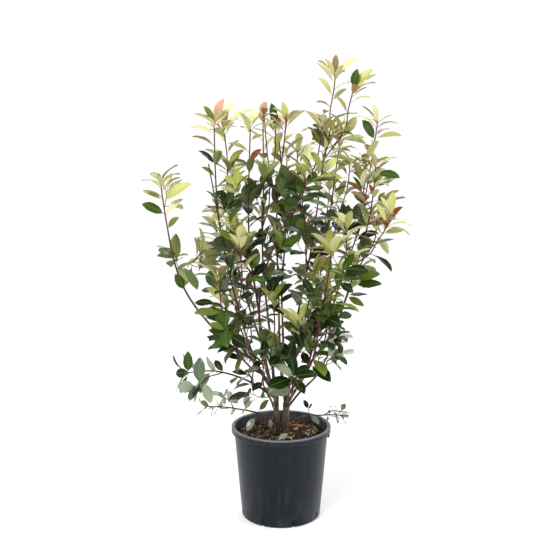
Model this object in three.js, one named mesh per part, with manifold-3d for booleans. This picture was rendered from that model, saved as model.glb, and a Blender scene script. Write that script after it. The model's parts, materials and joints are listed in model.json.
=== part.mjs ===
// A young evergreen shrub with several upright stems, in a round plastic nursery pot.
// Millimetres, +Z up. The origin is the centre of the pot's flat underside and -Y is the front.
//
// Two short trunks stand on the growing medium. Canes fork from them and from each other.
// The bare lower part of a cane is a bough, and its leafy upper part is a mass of foliage,
// whose twigs and leaves grow by one seeded rule. A mass keeps to its own space: every point
// of it lies nearer its own canes than those of any other mass.

import * as THREE from 'three';
import { mergeVertices } from 'three/addons/utils/BufferGeometryUtils.js';
import Module from 'manifold-3d';

const wasm = await Module();
wasm.setup();

// ---- Driving dimensions ----

const GAP = 0.3; // between one solid and the next
const FINEST = 0.03; // slivers smaller than this are smoothed out of a joined solid
const SAME = 1e-3; // corners nearer than this are one

const POT = {
  height: 260,
  rimRadius: 140, // outside the lip
  neckRadius: 132, // outside the wall, just under the lip
  baseRadius: 111,
  footChamfer: 3,
  wall: 2.4,
  floor: 3,
  lipHeight: 17,
  lipRoll: 3, // radius of the lip's rounded edges
  sides: 36,
  slots: 8,
  slotWidth: 8,
  slotHeight: 23,
  slotReach: 14, // how far a slot runs in under the floor
  slotTurn: -5, // degrees that they are turned by, from an even spread either side of the front
};

const SOIL = {
  top: 236,
  mound: 5, // how much higher it stands round the trunks than at the wall
  moundRadius: 46,
  slope: 0.4, // share of that rise at half the way out
};

const TRUNKS = {
  trunk_left: { foot: [-13, -7], head: [-14, -3, 351], radius: [8.6, 7.2] },
  trunk_right: { foot: [12, 7], head: [15, 8, 322], radius: [10.4, 9.2] },
};
const TRUNK = { sides: 12, rings: 6, flare: 0.34, flareHeight: 30 };

const BOUGH = { sides: 5, rings: 5, footRadius: 5.4, headRadius: 2.9, parentShare: 0.8 };
const CANE = {
  sides: 3,
  twist: 35, // degrees that its sides turn by from ring to ring
  tipRadius: 1.25,
  rings: 5,
  samples: 24,
  sway: 5, // how far it wanders from its curve, in this many waves
  waves: 1.4,
};
const TWIG = {
  radius: 1.5, parentShare: 0.6, tipRadius: 0.9, rings: 2,
  length: [50, 82], angle: [38, 58], rise: 0.12, leaves: 2,
};

// Shares are of the leaf's length, but for width, endWidth and sink.
const LEAF = {
  length: [76, 100],
  slimness: 0.39, // width over length
  stalkShare: 0.36, // where the blade reaches its full width
  endShare: 0.72, // where it starts to close to the tip
  endWidth: 0.9, // its width there, over the full width
  lift: 0.03, // how far its sides stand above its spine
  droop: 0.09, // how far its tip turns down
  sink: 0.15, // how far past the stem's axis its root goes, over the stem's radius
  tipShrink: 0.18, // how much smaller leaves are at the tip of a cane
};

const GROWTH = {
  internode: 47,
  turn: 137.5, // degrees from one leaf to the next round the stem
  spread: [68, 52], // degrees between leaf and stem, at the foot and tip of the leafy part
  angleChance: [0.85, 1.15], // chance factor on that angle
  folds: [1, 0.75, 0.5], // shares of that angle that a crowded leaf tries in turn
  twigShare: 0.12, // share of the nodes that carry a twig in place of a leaf
  twigLimit: 0.78, // no twigs past this share of the cane
  tuft: 3, // leaves round each tip, this far apart up the stem and at this angle
  tuftSpacing: 4.5,
  tuftAngle: 50,
  faceUp: 0.5, // how far a leaf's face turns from along its stem to straight up
};

// Room that leaves and twigs keep.
const ROOM = {
  betweenMasses: 2,
  betweenLeaves: 9.5,
  toStem: 4, // from a leaf to a stem that it doesn't grow on
  toLimb: 5,
  overPot: 6,
  sideways: [-376, 348], // how far to the left and right the crown reaches
};

// Each cane starts on its parent, at a share of the parent's length, and ends at its tip.
// bend is how far its middle lies from the straight line between the two, bare the share of
// it that has no leaves, and forks are more leafy canes that branch from its leafy part. Its
// leaves are small times the usual size and airy times as far apart, with none on it in its rest.
const CANES = {
  left_mid: {
    parent: 'trunk_left', at: 0.97, tip: [-178, -25, 1106], bend: [-40, -8, -70], bare: 0.27,
    forks: [{ at: 0.5, tip: [-160, 78, 1084], bend: [10, 22, -10] }],
  },
  far_left: {
    parent: 'left_mid', at: 0.55, tip: [-318, -62, 946], bend: [-50, -12, -64], bare: 0.56,
    rest: [0.64, 0.84],
    forks: [{ at: 0.6, tip: [-208, 20, 760], bend: [-6, 10, -14] }],
  },
  centre_left: {
    parent: 'trunk_left', at: 0.8, tip: [-80, -104, 1092], bend: [-26, -34, -30], bare: 0.32,
    forks: [{ at: 0.5, tip: [-120, -150, 836], bend: [-8, -14, -10] }],
  },
  leader: {
    parent: 'trunk_left', at: 0.9, tip: [158, -50, 1062], bend: [-112, -96, 14], bare: 0.32,
    forks: [
      { at: 0.9, tip: [140, -34, 1226], bend: [4, 2, -12] },
      { at: 0.93, tip: [186, -66, 1188], bend: [8, -6, -16] },
      { at: 0.66, tip: [106, -104, 1092], bend: [10, -12, -20] },
    ],
  },
  low_left: {
    parent: 'trunk_left', at: 0.88, tip: [-260, -78, 430], bend: [-6, -2, 36], bare: 0.4,
    small: 0.9, airy: 1.7,
    forks: [{ at: 0.62, tip: [-228, -100, 402], bend: [0, -4, 6] }],
  },
  centre: {
    parent: 'trunk_right', at: 0.97, tip: [130, 22, 1070], bend: [-4, 2, 0], bare: 0.34,
    forks: [{ at: 0.52, tip: [64, -46, 986], bend: [-8, -18, -10] }],
  },
  centre_back: {
    parent: 'trunk_right', at: 0.86, tip: [16, 70, 1112], bend: [-28, 22, -10], bare: 0.34,
    forks: [{ at: 0.56, tip: [46, 118, 1026], bend: [14, 10, -10] }],
  },
  twin_back: {
    parent: 'trunk_left', at: 0.7, tip: [-50, 84, 1120], bend: [-14, 40, -20], bare: 0.34,
    forks: [{ at: 0.62, tip: [-16, 140, 1090], bend: [8, 20, -14] }],
  },
  right: {
    parent: 'centre', at: 0.34, tip: [162, 104, 1030], bend: [10, 34, -30], bare: 0.26,
    forks: [{ at: 0.5, tip: [200, 184, 990], bend: [16, 20, -20] }],
  },
  right_back: {
    parent: 'right', at: 0.3, tip: [272, 130, 1106], bend: [36, 26, -50], bare: 0.36,
    forks: [{ at: 0.5, tip: [234, 70, 1000], bend: [6, -22, -16] }],
  },
  far_right: {
    parent: 'centre', at: 0.22, tip: [254, -6, 990], bend: [42, -20, -56], bare: 0.44,
    forks: [
      { at: 0.6, tip: [282, -44, 836], bend: [8, -8, -8] },
      { at: 0.54, tip: [276, 62, 884], bend: [14, 14, -16] },
    ],
  },
  right_mid: {
    parent: 'far_right', at: 0.42, tip: [152, -118, 696], bend: [-2, -26, -14], bare: 0.26,
    forks: [{ at: 0.4, tip: [204, -56, 728], bend: [12, 4, -12] }],
  },
  right_low: {
    parent: 'trunk_right', at: 0.78, tip: [156, -62, 522], bend: [4, -4, -4], bare: 0.56,
    small: 0.66, airy: 1.7,
    forks: [{ at: 0.64, tip: [138, -36, 466], bend: [6, 4, 0] }],
  },
  front_right: {
    parent: 'centre', at: 0.14, tip: [124, -206, 790], bend: [14, -54, -56], bare: 0.32,
    forks: [{ at: 0.5, tip: [166, -164, 842], bend: [16, -10, -24] }],
  },
  front_low: {
    parent: 'trunk_right', at: 0.9, tip: [46, -200, 602], bend: [2, -34, -30], bare: 0.36,
    forks: [{ at: 0.5, tip: [-22, -190, 656], bend: [-12, -20, -12] }],
  },
  front_left: {
    parent: 'centre_left', at: 0.5, tip: [-160, -182, 716], bend: [-24, -36, -36], bare: 0.26,
    forks: [{ at: 0.45, tip: [-104, -204, 800], bend: [6, -24, -16] }],
  },
  left_low: {
    parent: 'left_mid', at: 0.36, tip: [-130, -92, 546], bend: [-16, -12, -12], bare: 0.3,
    forks: [{ at: 0.4, tip: [-150, -84, 620], bend: [-8, -8, -14] }],
  },
  low_front: {
    parent: 'trunk_left', at: 0.6, tip: [-52, -146, 500], bend: [-6, -22, -18], bare: 0.34,
    small: 0.86,
    forks: [{ at: 0.5, tip: [-88, -112, 444], bend: [-10, 2, -4] }],
  },
  inner_right: {
    parent: 'centre', at: 0.1, tip: [128, -36, 690], bend: [12, -12, -34], bare: 0.26,
    forks: [{ at: 0.4, tip: [82, -72, 640], bend: [-6, -14, -14] }],
  },
  back_left: {
    parent: 'twin_back', at: 0.4, tip: [-142, 214, 950], bend: [-32, 52, -46], bare: 0.34,
    forks: [{ at: 0.5, tip: [-190, 164, 810], bend: [-18, 10, -20] }],
  },
  back_centre: {
    parent: 'centre_back', at: 0.3, tip: [18, 244, 1008], bend: [-2, 54, -56], bare: 0.34,
    forks: [{ at: 0.45, tip: [-58, 262, 836], bend: [-14, 20, -20] }],
  },
  back_right: {
    parent: 'right', at: 0.5, tip: [146, 244, 922], bend: [10, 40, -44], bare: 0.34,
    forks: [{ at: 0.45, tip: [78, 228, 750], bend: [-12, 20, -20] }],
  },
  back_low_left: {
    parent: 'twin_back', at: 0.2, tip: [-134, 150, 590], bend: [-22, 22, -24], bare: 0.36,
    forks: [{ at: 0.5, tip: [-84, 206, 572], bend: [6, 20, -16] }],
  },
  back_low_right: {
    parent: 'trunk_right', at: 0.94, tip: [130, 150, 600], bend: [16, 22, -22], bare: 0.36,
    forks: [{ at: 0.5, tip: [116, 118, 690], bend: [-4, -2, -24] }],
  },
  sprig_left: {
    parent: 'trunk_left', at: 0.36, tip: [-218, 40, 300], bend: [0, 6, 10], bare: 0.5,
    small: 0.56, airy: 1.6,
    forks: [{ at: 0.6, tip: [-172, 86, 318], bend: [0, 8, 6] }],
  },
  sprig_right: {
    parent: 'trunk_right', at: 0.34, tip: [178, 30, 276], bend: [0, 4, 10], bare: 0.52,
    small: 0.46, airy: 1.9,
    forks: [{ at: 0.66, tip: [188, 64, 274], bend: [0, 6, 8] }],
  },
};

const FINISHES = {
  pot: { color: 0x2b2e33, roughness: 0.45 },
  soil: { color: 0x4a3222, roughness: 0.95 },
  trunk: { color: 0x6b5240, roughness: 0.85 },
  bough: { color: 0x6a4238, roughness: 0.8 },
  foliage: { color: 0x48662f, roughness: 0.55 },
};

// ---- Chance and directions ----

// The same whole-number keys always give the same share, from 0 to 1.
function chance(...keys) {
  let mixed = 0x9e3779b9;
  for (const key of keys) {
    mixed = Math.imul(mixed ^ key, 0x85ebca6b);
    mixed = Math.imul(mixed ^ (mixed >>> 13), 0xc2b2ae35);
    mixed ^= mixed >>> 16;
  }
  return (mixed >>> 0) / 2 ** 32;
}

const DRAW = { sway: 1, firstTurn: 2, leafSize: 3, leafAngle: 4, twig: 5, twigLength: 6, twigAngle: 7 };
// These keep the chances of forks, of a cane's nodes and of a twig's nodes apart.
const KEYS = { fork: 100, cane: 10, node: 100, twig: 2 };

const between = ([low, high], share) => low + (high - low) * share;
const radians = THREE.MathUtils.degToRad;
const UP = new THREE.Vector3(0, 0, 1);
const FRONT = new THREE.Vector3(0, -1, 0);
const turns = (share) => 2 * Math.PI * share;

// The part of a vector that is square to a direction, at unit length.
const squared = (vector, direction) =>
  vector.clone().addScaledVector(direction, -vector.dot(direction)).normalize();

// ---- Limbs as lines ----

// The line of a limb: its points, and at each the way it heads, its radius and the way its first side
// faces. A leafy limb's sides start at a turn and twist up it. headings are the way it heads at its ends.
class LimbLine {
  constructor(points, radii, { headings = [], turn = null } = {}) {
    const last = points.length - 1;
    this.points = points;
    this.radii = radii;
    this.lengths = [0];
    for (let i = 1; i <= last; i++)
      this.lengths.push(this.lengths[i - 1] + points[i].distanceTo(points[i - 1]));
    this.rings = points.map((point, i) => {
      const chord = points[Math.min(i + 1, last)].clone().sub(points[Math.max(i - 1, 0)]).normalize();
      const direction = (i === 0 && headings[0]) || (i === last && headings[1]) || chord;
      return { point, direction, radius: between(radii, this.lengths[i] / this.length) };
    });
    const level = Math.abs(this.rings[0].direction.z) < 0.5;
    let side = level ? UP : FRONT;
    this.rings.forEach((ring, i) => {
      side = squared(side, ring.direction);
      if (turn !== null) side.applyAxisAngle(ring.direction, i === 0 ? turn : radians(CANE.twist));
      ring.side = side;
    });
  }

  get length() {
    return this.lengths[this.lengths.length - 1];
  }

  // The point, direction, radius and side at a share of the length.
  at(share) {
    const reach = share * this.length;
    let i = 1;
    while (i < this.lengths.length - 1 && this.lengths[i] < reach) i++;
    const part = (reach - this.lengths[i - 1]) / (this.lengths[i] - this.lengths[i - 1]);
    const direction = this.points[i].clone().sub(this.points[i - 1]).normalize();
    return {
      point: this.points[i - 1].clone().lerp(this.points[i], part),
      direction,
      radius: between(this.radii, share),
      side: squared(this.rings[i - 1].side.clone().lerp(this.rings[i].side, part), direction),
    };
  }

  // The stretch between two shares, as a line of its own.
  stretch(from, to, radii, count, turn = null) {
    const points = Array.from({ length: count + 1 }, (_, i) => this.at(between([from, to], i / count)).point);
    return new LimbLine(points, radii, { headings: [this.at(from).direction, this.at(to).direction], turn });
  }

  distanceTo(point) {
    let nearest = Infinity;
    for (let i = 1; i < this.points.length; i++)
      nearest = Math.min(nearest, distanceToPiece(point, this.points[i - 1], this.points[i]));
    return nearest;
  }
}

function distanceToPiece(point, start, end) {
  const dx = end.x - start.x, dy = end.y - start.y, dz = end.z - start.z;
  const px = point.x - start.x, py = point.y - start.y, pz = point.z - start.z;
  const along = (px * dx + py * dy + pz * dz) / (dx * dx + dy * dy + dz * dz);
  const share = Math.min(1, Math.max(0, along));
  return Math.hypot(px - dx * share, py - dy * share, pz - dz * share);
}

const firstTurn = (key) => turns(chance(key, DRAW.firstTurn));

// A bent, slightly swaying line from a root to a tip.
function bentLine(root, tip, bend, radii, key, count, sway = CANE.sway) {
  const control = root.clone().add(tip).multiplyScalar(0.5).addScaledVector(bend, 2);
  const curve = new THREE.QuadraticBezierCurve3(root, control, tip);
  const points = curve.getPoints(count).map((point, i) => {
    const share = i / count;
    const swing = (axis) =>
      sway * Math.sin(Math.PI * share) * Math.sin(turns(CANE.waves * share + chance(key, axis, DRAW.sway)));
    return point.add(new THREE.Vector3(swing(0), swing(1), 0));
  });
  return new LimbLine(points, radii, { turn: firstTurn(key) });
}

// ---- Closed meshes ----

function meshOf(positions, faces) {
  return new wasm.Manifold(new wasm.Mesh({
    numProp: 3,
    vertProperties: new Float32Array(positions.flatMap((p) => [p.x, p.y, p.z])),
    triVerts: new Uint32Array(faces.flat()),
  }));
}

function solidOf(geometry) {
  const bare = geometry.clone().deleteAttribute('normal').deleteAttribute('uv');
  const merged = mergeVertices(bare, SAME);
  return new wasm.Manifold(new wasm.Mesh({
    numProp: 3,
    vertProperties: merged.attributes.position.array,
    triVerts: new Uint32Array(merged.index.array),
  }));
}

// A tapering tube with flat ends along a line. swell(share) scales its radius, extra adds to it and to
// its ends, and levelFoot cuts its foot level.
function tube(line, sides, { swell = () => 1, extra = 0, levelFoot = false } = {}) {
  const last = line.rings.length - 1;
  const positions = line.rings.flatMap(({ point, direction, radius, side }, i) => {
    const axis = levelFoot && i === 0 ? UP : direction;
    const across = squared(side, axis);
    const other = new THREE.Vector3().crossVectors(axis, across);
    const reach = radius * swell(line.lengths[i] / line.length) + extra;
    const centre = point.clone().addScaledVector(axis, i === 0 ? -extra : i === last ? extra : 0);
    return Array.from({ length: sides }, (_, k) => centre.clone()
      .addScaledVector(across, reach * Math.cos(turns(k / sides)))
      .addScaledVector(other, reach * Math.sin(turns(k / sides))));
  });
  const faces = [];
  for (let ring = 0; ring < last; ring++)
    for (let side = 0; side < sides; side++) {
      const a = ring * sides + side;
      const b = ring * sides + ((side + 1) % sides);
      faces.push([a, b, b + sides], [a, b + sides, a + sides]);
    }
  const top = last * sides;
  for (let side = 1; side < sides - 1; side++) {
    faces.push([0, side + 1, side]);
    faces.push([top, top + side, top + side + 1]);
  }
  return meshOf(positions, faces);
}

// The biggest single body of a solid, with any sealed hollow filled and loose scraps dropped.
function mainBody(solid) {
  const bodies = solid.simplify(FINEST).decompose();
  return bodies.reduce((best, body) => (body.volume() > best.volume() ? body : best));
}

function meshNode(name, solid, finish) {
  const { vertProperties, triVerts } = solid.getMesh();
  const geometry = new THREE.BufferGeometry()
    .setAttribute('position', new THREE.BufferAttribute(vertProperties, 3))
    .setIndex(new THREE.BufferAttribute(triVerts, 1));
  geometry.computeVertexNormals();
  const mesh = new THREE.Mesh(geometry, new THREE.MeshStandardMaterial({ ...finish, flatShading: true }));
  mesh.name = name;
  return mesh;
}

// ---- Pot and growing medium ----

function lathe(profile, sides) {
  return solidOf(new THREE.LatheGeometry(profile.map(([r, z]) => new THREE.Vector2(r, z)), sides)
    .rotateX(Math.PI / 2));
}

// The wall's outside radius at a height.
const wallRadius = (z) => between([POT.baseRadius, POT.neckRadius], z / (POT.height - POT.lipHeight));

function potSolid() {
  const { height, rimRadius, neckRadius, baseRadius, footChamfer, wall, floor, lipHeight, lipRoll } = POT;
  const lipFoot = height - lipHeight;
  const shell = lathe([
    [0, 0],
    [baseRadius - footChamfer, 0],
    [baseRadius, footChamfer],
    [neckRadius, lipFoot],
    [rimRadius, lipFoot + lipRoll],
    [rimRadius, height - lipRoll],
    [rimRadius - lipRoll, height],
    [neckRadius - wall + lipRoll, height],
    [wallRadius(floor) - wall, floor],
    [0, floor],
  ], POT.sides);
  const slots = Array.from({ length: POT.slots }, (_, i) => {
    const slot = new THREE.BoxGeometry(POT.slotWidth, 2 * POT.slotReach, 2 * POT.slotHeight);
    slot.translate(0, baseRadius, 0).rotateZ(turns((i + 0.5) / POT.slots) + radians(POT.slotTurn));
    return solidOf(slot);
  });
  return slots.reduce((pot, slot) => pot.subtract(slot), shell);
}

function soilSolid() {
  const { top, mound, moundRadius, slope } = SOIL;
  const inside = (z) => wallRadius(z) - POT.wall - GAP;
  return lathe([
    [0, POT.floor + GAP],
    [inside(POT.floor) - GAP, POT.floor + GAP],
    [inside(top - mound), top - mound],
    [(inside(top) + moundRadius) / 2, top - mound * (1 - slope)],
    [moundRadius, top],
    [0, top],
  ], POT.sides);
}

// ---- Trunks and canes ----

const point = ([x, y, z]) => new THREE.Vector3(x, y, z);

function trunkLine({ foot: [x, y], head, radius }) {
  const whole = new LimbLine([point([x, y, SOIL.top + GAP]), point(head)], radius);
  return whole.stretch(0, 1, radius, TRUNK.rings);
}

// The lines of every trunk and cane, by name: its bare bough, and then its leafy canes.
function growLines() {
  const grown = {};
  for (const [name, trunk] of Object.entries(TRUNKS)) grown[name] = { bough: trunkLine(trunk) };
  Object.entries(CANES).forEach(([name, cane], index) => {
    const root = grown[cane.parent].bough.at(cane.at);
    const foot = Math.min(BOUGH.footRadius, root.radius * BOUGH.parentShare) * (cane.small ?? 1);
    const head = Math.min(BOUGH.headRadius, foot * BOUGH.parentShare);
    const radii = [foot, CANE.tipRadius];
    const whole = bentLine(root.point, point(cane.tip), point(cane.bend), radii, index, CANE.samples);
    const bough = whole.stretch(0, cane.bare, [foot, head], BOUGH.rings);
    const leafyFoot = cane.bare + GAP / whole.length;
    const leafy = whole.stretch(leafyFoot, 1, [head, CANE.tipRadius], CANE.rings, firstTurn(index));
    const forks = cane.forks.map((fork, order) => {
      const start = leafy.at((fork.at - cane.bare) / (1 - cane.bare));
      const forkRadii = [start.radius * BOUGH.parentShare, CANE.tipRadius];
      const key = KEYS.fork * (order + 1) + index;
      return bentLine(start.point, point(fork.tip), point(fork.bend), forkRadii, key, CANE.rings);
    });
    const { small = 1, airy = 1, rest = [1, 1], bare } = cane;
    grown[name] = { bough, canes: [leafy, ...forks], index, small, airy, rest, bare };
  });
  return grown;
}

// ---- The growing rule ----

// A leaf's outline: root, left and right near the stalk, left and right near the tip, and the tip.
function leafOutline({ root, direction, face, length, width }) {
  const across = new THREE.Vector3().crossVectors(direction, face);
  const place = (along, side, height) => root.clone()
    .addScaledVector(direction, along * length)
    .addScaledVector(across, side * width / 2)
    .addScaledVector(face, height * length);
  return {
    stalk: [place(LEAF.stalkShare, -1, LEAF.lift), place(LEAF.stalkShare, 1, LEAF.lift)],
    end: [place(LEAF.endShare, -LEAF.endWidth, LEAF.lift), place(LEAF.endShare, LEAF.endWidth, LEAF.lift)],
    middle: [place(LEAF.stalkShare, 0, 0), place(0.5, 0, 0), place(LEAF.endShare, 0, 0)],
    tip: place(1, 0, -LEAF.droop),
  };
}

// Points all over a leaf, for asking whether it has room.
function leafPoints(leaf) {
  const { stalk, end, middle, tip } = leafOutline(leaf);
  const half = (a, b) => a.clone().lerp(b, 0.5);
  const edges = [half(stalk[0], end[0]), half(stalk[1], end[1]), half(end[0], tip), half(end[1], tip)];
  return [...stalk, ...end, ...middle, ...edges, tip];
}

// Grows the twigs and leaves of every mass: { stems: [LimbLine], leaves: [leaf] } by name.
function growMasses(grown) {
  const limbs = Object.values(grown).map((each) => each.bough);
  const masses = Object.entries(grown).filter(([, each]) => each.canes);

  function hasRoom(points, own, reach) {
    return points.every((place) => {
      if (place.z < POT.height + ROOM.overPot) return false;
      if (place.x < ROOM.sideways[0] || place.x > ROOM.sideways[1]) return false;
      if (limbs.some((limb) => limb.distanceTo(place) < limb.radii[0] + ROOM.toLimb)) return false;
      const home = nearest(own.canes, place);
      return masses.every(([, other]) => other === own || nearest(other.canes, place) > home + reach);
    });
  }

  return Object.fromEntries(masses.map(([name, own]) => {
    const stems = [...own.canes];
    const leaves = [];

    // Whether a share of the mass's first cane has no leaves.
    const rests = (share) => share > own.rest[0] && share < own.rest[1];

    // Whether a leaf keeps off the mass's other leaves and the stems that it doesn't grow on.
    function isFree(points, stem) {
      const reach = ROOM.betweenLeaves * own.small;
      const isApart = (other) => points.every((each) => each.distanceTo(other) > reach);
      const isClear = (other) => points.every((each) => other.distanceTo(each) > ROOM.toStem);
      return leaves.every((leaf) => leaf.points.every(isApart))
        && stems.every((other) => other === stem || isClear(other));
    }

    // Adds the first leaf that has room: on the side asked for or another, and then folded to the stem.
    function tryLeaf(stem, share, turn, angle, key) {
      const shrink = own.small * (1 - LEAF.tipShrink * share);
      const size = shrink * between(LEAF.length, chance(key, DRAW.leafSize));
      for (const fold of GROWTH.folds)
        for (let side = 0; side < CANE.sides; side++) {
          const leaf = leafAt(stem.at(share), turn + turns(side / CANE.sides), angle * fold, size);
          const points = leafPoints(leaf);
          if (!hasRoom(points, own, ROOM.betweenMasses) || !isFree(points, stem)) continue;
          leaves.push({ ...leaf, points });
          return;
        }
    }

    function tryTwig(node, turn, key) {
      const angle = radians(between(TWIG.angle, chance(key, DRAW.twigAngle)));
      const length = between(TWIG.length, chance(key, DRAW.twigLength)) * own.small;
      const tip = node.point.clone().addScaledVector(slanting(node, turn, angle), length);
      const bend = new THREE.Vector3(0, 0, -TWIG.rise * length);
      tip.z += TWIG.rise * length;
      const radii = [Math.min(TWIG.radius, node.radius * TWIG.parentShare), TWIG.tipRadius];
      const twig = bentLine(node.point, tip, bend, radii, key, TWIG.rings, 0);
      if (!hasRoom(twig.points.slice(1), own, ROOM.betweenMasses + TWIG.radius)) return false;
      stems.push(twig);
      leafUp(twig, key * KEYS.twig, TWIG.leaves, false);
      return true;
    }

    // Leaves and twigs up a stem: evenly at first, and then close together in the tuft round its tip.
    function leafUp(stem, key, count, branches) {
      const first = firstTurn(key);
      const tuft = Math.round(GROWTH.tuft / own.airy);
      const tuftShare = (tuft * GROWTH.tuftSpacing) / stem.length;
      for (let i = 0; i < count + tuft; i++) {
        const inTuft = i >= count;
        const share = inTuft
          ? 1 - tuftShare * (1 - (i - count + 0.5) / tuft)
          : (1 - tuftShare) * (i + 0.5) / count;
        const turn = faceTurn(first + radians(GROWTH.turn) * i);
        const nodeKey = key * KEYS.node + i;
        if (stem === own.canes[0] && rests(between([own.bare, 1], share))) continue;
        const twigDue = share < GROWTH.twigLimit && chance(nodeKey, DRAW.twig) < GROWTH.twigShare;
        if (branches && twigDue && tryTwig(stem.at(share), turn, nodeKey)) continue;
        const spread = inTuft ? GROWTH.tuftAngle : between(GROWTH.spread, share);
        const angle = spread * between(GROWTH.angleChance, chance(nodeKey, DRAW.leafAngle));
        tryLeaf(stem, share, turn, radians(angle), nodeKey);
      }
    }

    own.canes.forEach((cane, order) => {
      const count = Math.round(cane.length / (GROWTH.internode * own.small * own.airy));
      leafUp(cane, own.index * KEYS.cane + order + 1, count, true);
    });
    return [name, { stems, leaves }];
  }));
}

const nearest = (lines, place) => Math.min(...lines.map((line) => line.distanceTo(place)));

// The turn of the middle of the stem's flat face that a turn falls on.
const faceTurn = (turn) => turns((Math.floor((turn / turns(1)) * CANE.sides) + 0.5) / CANE.sides);

// A direction at an angle to a stem's, turned about it from the stem's side.
const slanting = ({ direction, side }, turn, angle) =>
  direction.clone().multiplyScalar(Math.cos(angle)).addScaledVector(
    side.clone().applyAxisAngle(direction, turn), Math.sin(angle));

// A leaf on a stem. It faces along the stem, and partly up.
function leafAt(node, turn, angle, length) {
  const direction = slanting(node, turn, angle);
  const face = squared(node.direction.clone().addScaledVector(UP, GROWTH.faceUp), direction);
  const root = node.point.clone().addScaledVector(direction, -LEAF.sink * node.radius);
  return { root, direction, face, length, width: length * LEAF.slimness };
}

// ---- Solids of limbs and masses ----

// A leaf of eight faces: flat panels above, and a spine along the middle below.
function leafSolid(leaf) {
  const { stalk, end, tip } = leafOutline(leaf);
  const positions = [leaf.root, ...stalk, ...end, tip];
  const [ROOT, STALK_L, STALK_R, END_L, END_R, TIP] = [0, 1, 2, 3, 4, 5];
  return meshOf(positions, [
    [ROOT, STALK_R, STALK_L], [STALK_L, STALK_R, END_R], [STALK_L, END_R, END_L], [END_L, END_R, TIP],
    [ROOT, STALK_L, TIP], [STALK_L, END_L, TIP], [ROOT, TIP, STALK_R], [STALK_R, TIP, END_R],
  ]);
}

function massSolid({ stems, leaves }) {
  const tubes = stems.map((stem) => tube(stem, CANE.sides));
  return mainBody(wasm.Manifold.union([...tubes, ...leaves.map(leafSolid)]));
}

// Solids of the trunks and boughs. Each is cut clear of those made before it.
function limbSolids(grown) {
  const fats = [];
  return Object.entries(grown).map(([name, { bough, canes }]) => {
    const rise = (share) => Math.min(1, (share * bough.length) / TRUNK.flareHeight);
    const flare = (share) => 1 + TRUNK.flare * (1 - rise(share)) ** 2;
    const sides = canes ? BOUGH.sides : TRUNK.sides;
    const shape = canes ? {} : { swell: flare, levelFoot: true };
    const solid = fats.reduce((left, fat) => left.subtract(fat), tube(bough, sides, shape));
    fats.push(tube(bough, sides, { ...shape, extra: GAP / Math.cos(Math.PI / sides) }));
    return { name, isTrunk: !canes, solid: mainBody(solid) };
  });
}

// ---- The shrub in its pot ----

const shrub = new THREE.Group();
shrub.add(meshNode('pot', potSolid(), FINISHES.pot));
shrub.add(meshNode('soil', soilSolid(), FINISHES.soil));

const grown = growLines();
for (const { name, isTrunk, solid } of limbSolids(grown))
  shrub.add(meshNode(isTrunk ? name : `bough_${name}`, solid, isTrunk ? FINISHES.trunk : FINISHES.bough));

const masses = growMasses(grown);
for (const [name, mass] of Object.entries(masses))
  shrub.add(meshNode(`foliage_${name}`, massSolid(mass), FINISHES.foliage));

export default shrub;
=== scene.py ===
"""A young evergreen shrub with several upright stems, in a round plastic nursery pot.

The limbs follow the same named sizes as the solids, and the twigs and leaves grow on from
them by the same seeded rule, carried on to finer twigs and to leaves of their true size.
Sizes are in millimetres and every mesh is made in metres. The front is -Y.
"""

from __future__ import annotations

import json
import logging
import math
from contextlib import contextmanager
from dataclasses import dataclass
from enum import Enum
from functools import partial, partialmethod
from typing import Any, Callable, Iterable, Iterator, Sequence

import bmesh
import bpy
import numpy as np
from bpy.types import Collection, Material, Mesh, Node, NodeSocket, NodeTree, Object
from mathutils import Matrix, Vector, noise

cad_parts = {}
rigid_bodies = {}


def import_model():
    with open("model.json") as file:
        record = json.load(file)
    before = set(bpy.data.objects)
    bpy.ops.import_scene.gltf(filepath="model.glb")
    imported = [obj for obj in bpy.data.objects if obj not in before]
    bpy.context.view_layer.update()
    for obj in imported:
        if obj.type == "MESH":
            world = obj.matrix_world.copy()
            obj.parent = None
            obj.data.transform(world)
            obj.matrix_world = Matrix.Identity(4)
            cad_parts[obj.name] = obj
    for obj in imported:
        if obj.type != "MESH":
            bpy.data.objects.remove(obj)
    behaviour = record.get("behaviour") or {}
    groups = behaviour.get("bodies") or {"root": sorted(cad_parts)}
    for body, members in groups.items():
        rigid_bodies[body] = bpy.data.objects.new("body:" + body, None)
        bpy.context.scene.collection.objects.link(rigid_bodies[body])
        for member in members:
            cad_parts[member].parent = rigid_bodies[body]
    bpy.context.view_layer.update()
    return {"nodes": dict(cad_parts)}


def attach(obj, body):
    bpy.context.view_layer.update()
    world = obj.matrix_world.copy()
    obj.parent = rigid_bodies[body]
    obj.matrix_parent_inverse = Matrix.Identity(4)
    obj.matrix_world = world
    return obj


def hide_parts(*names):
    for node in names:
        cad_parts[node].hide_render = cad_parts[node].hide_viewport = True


LOG = logging.getLogger("shrub")
MM = 0.001
BODY = "root"

Pair = tuple[float, float]
Point = tuple[float, float, float]
Colour = tuple[float, float, float]
Face = tuple[int, ...]
Array = np.ndarray


# ---- Chance and directions ----

UP = np.array([0.0, 0.0, 1.0])
FRONT = np.array([0.0, -1.0, 0.0])
FULL_TURN = 2 * math.pi
TINY = 1e-9

LOW_BITS = 0xFFFFFFFF
START, STIR, SECOND_STIR = 0x9E3779B9, 0x85EBCA6B, 0xC2B2AE35
SHIFT, SECOND_SHIFT = 13, 16


def chance(*keys: int) -> float:
    """The share that these whole numbers always give.

    Args:
        *keys: Whole numbers that name the draw.

    Returns:
        A share from 0 to 1.
    """
    mixed = START
    for key in keys:
        mixed = ((mixed ^ key) * STIR) & LOW_BITS
        mixed = ((mixed ^ (mixed >> SHIFT)) * SECOND_STIR) & LOW_BITS
        mixed ^= mixed >> SECOND_SHIFT
    return mixed / (LOW_BITS + 1)


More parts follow.
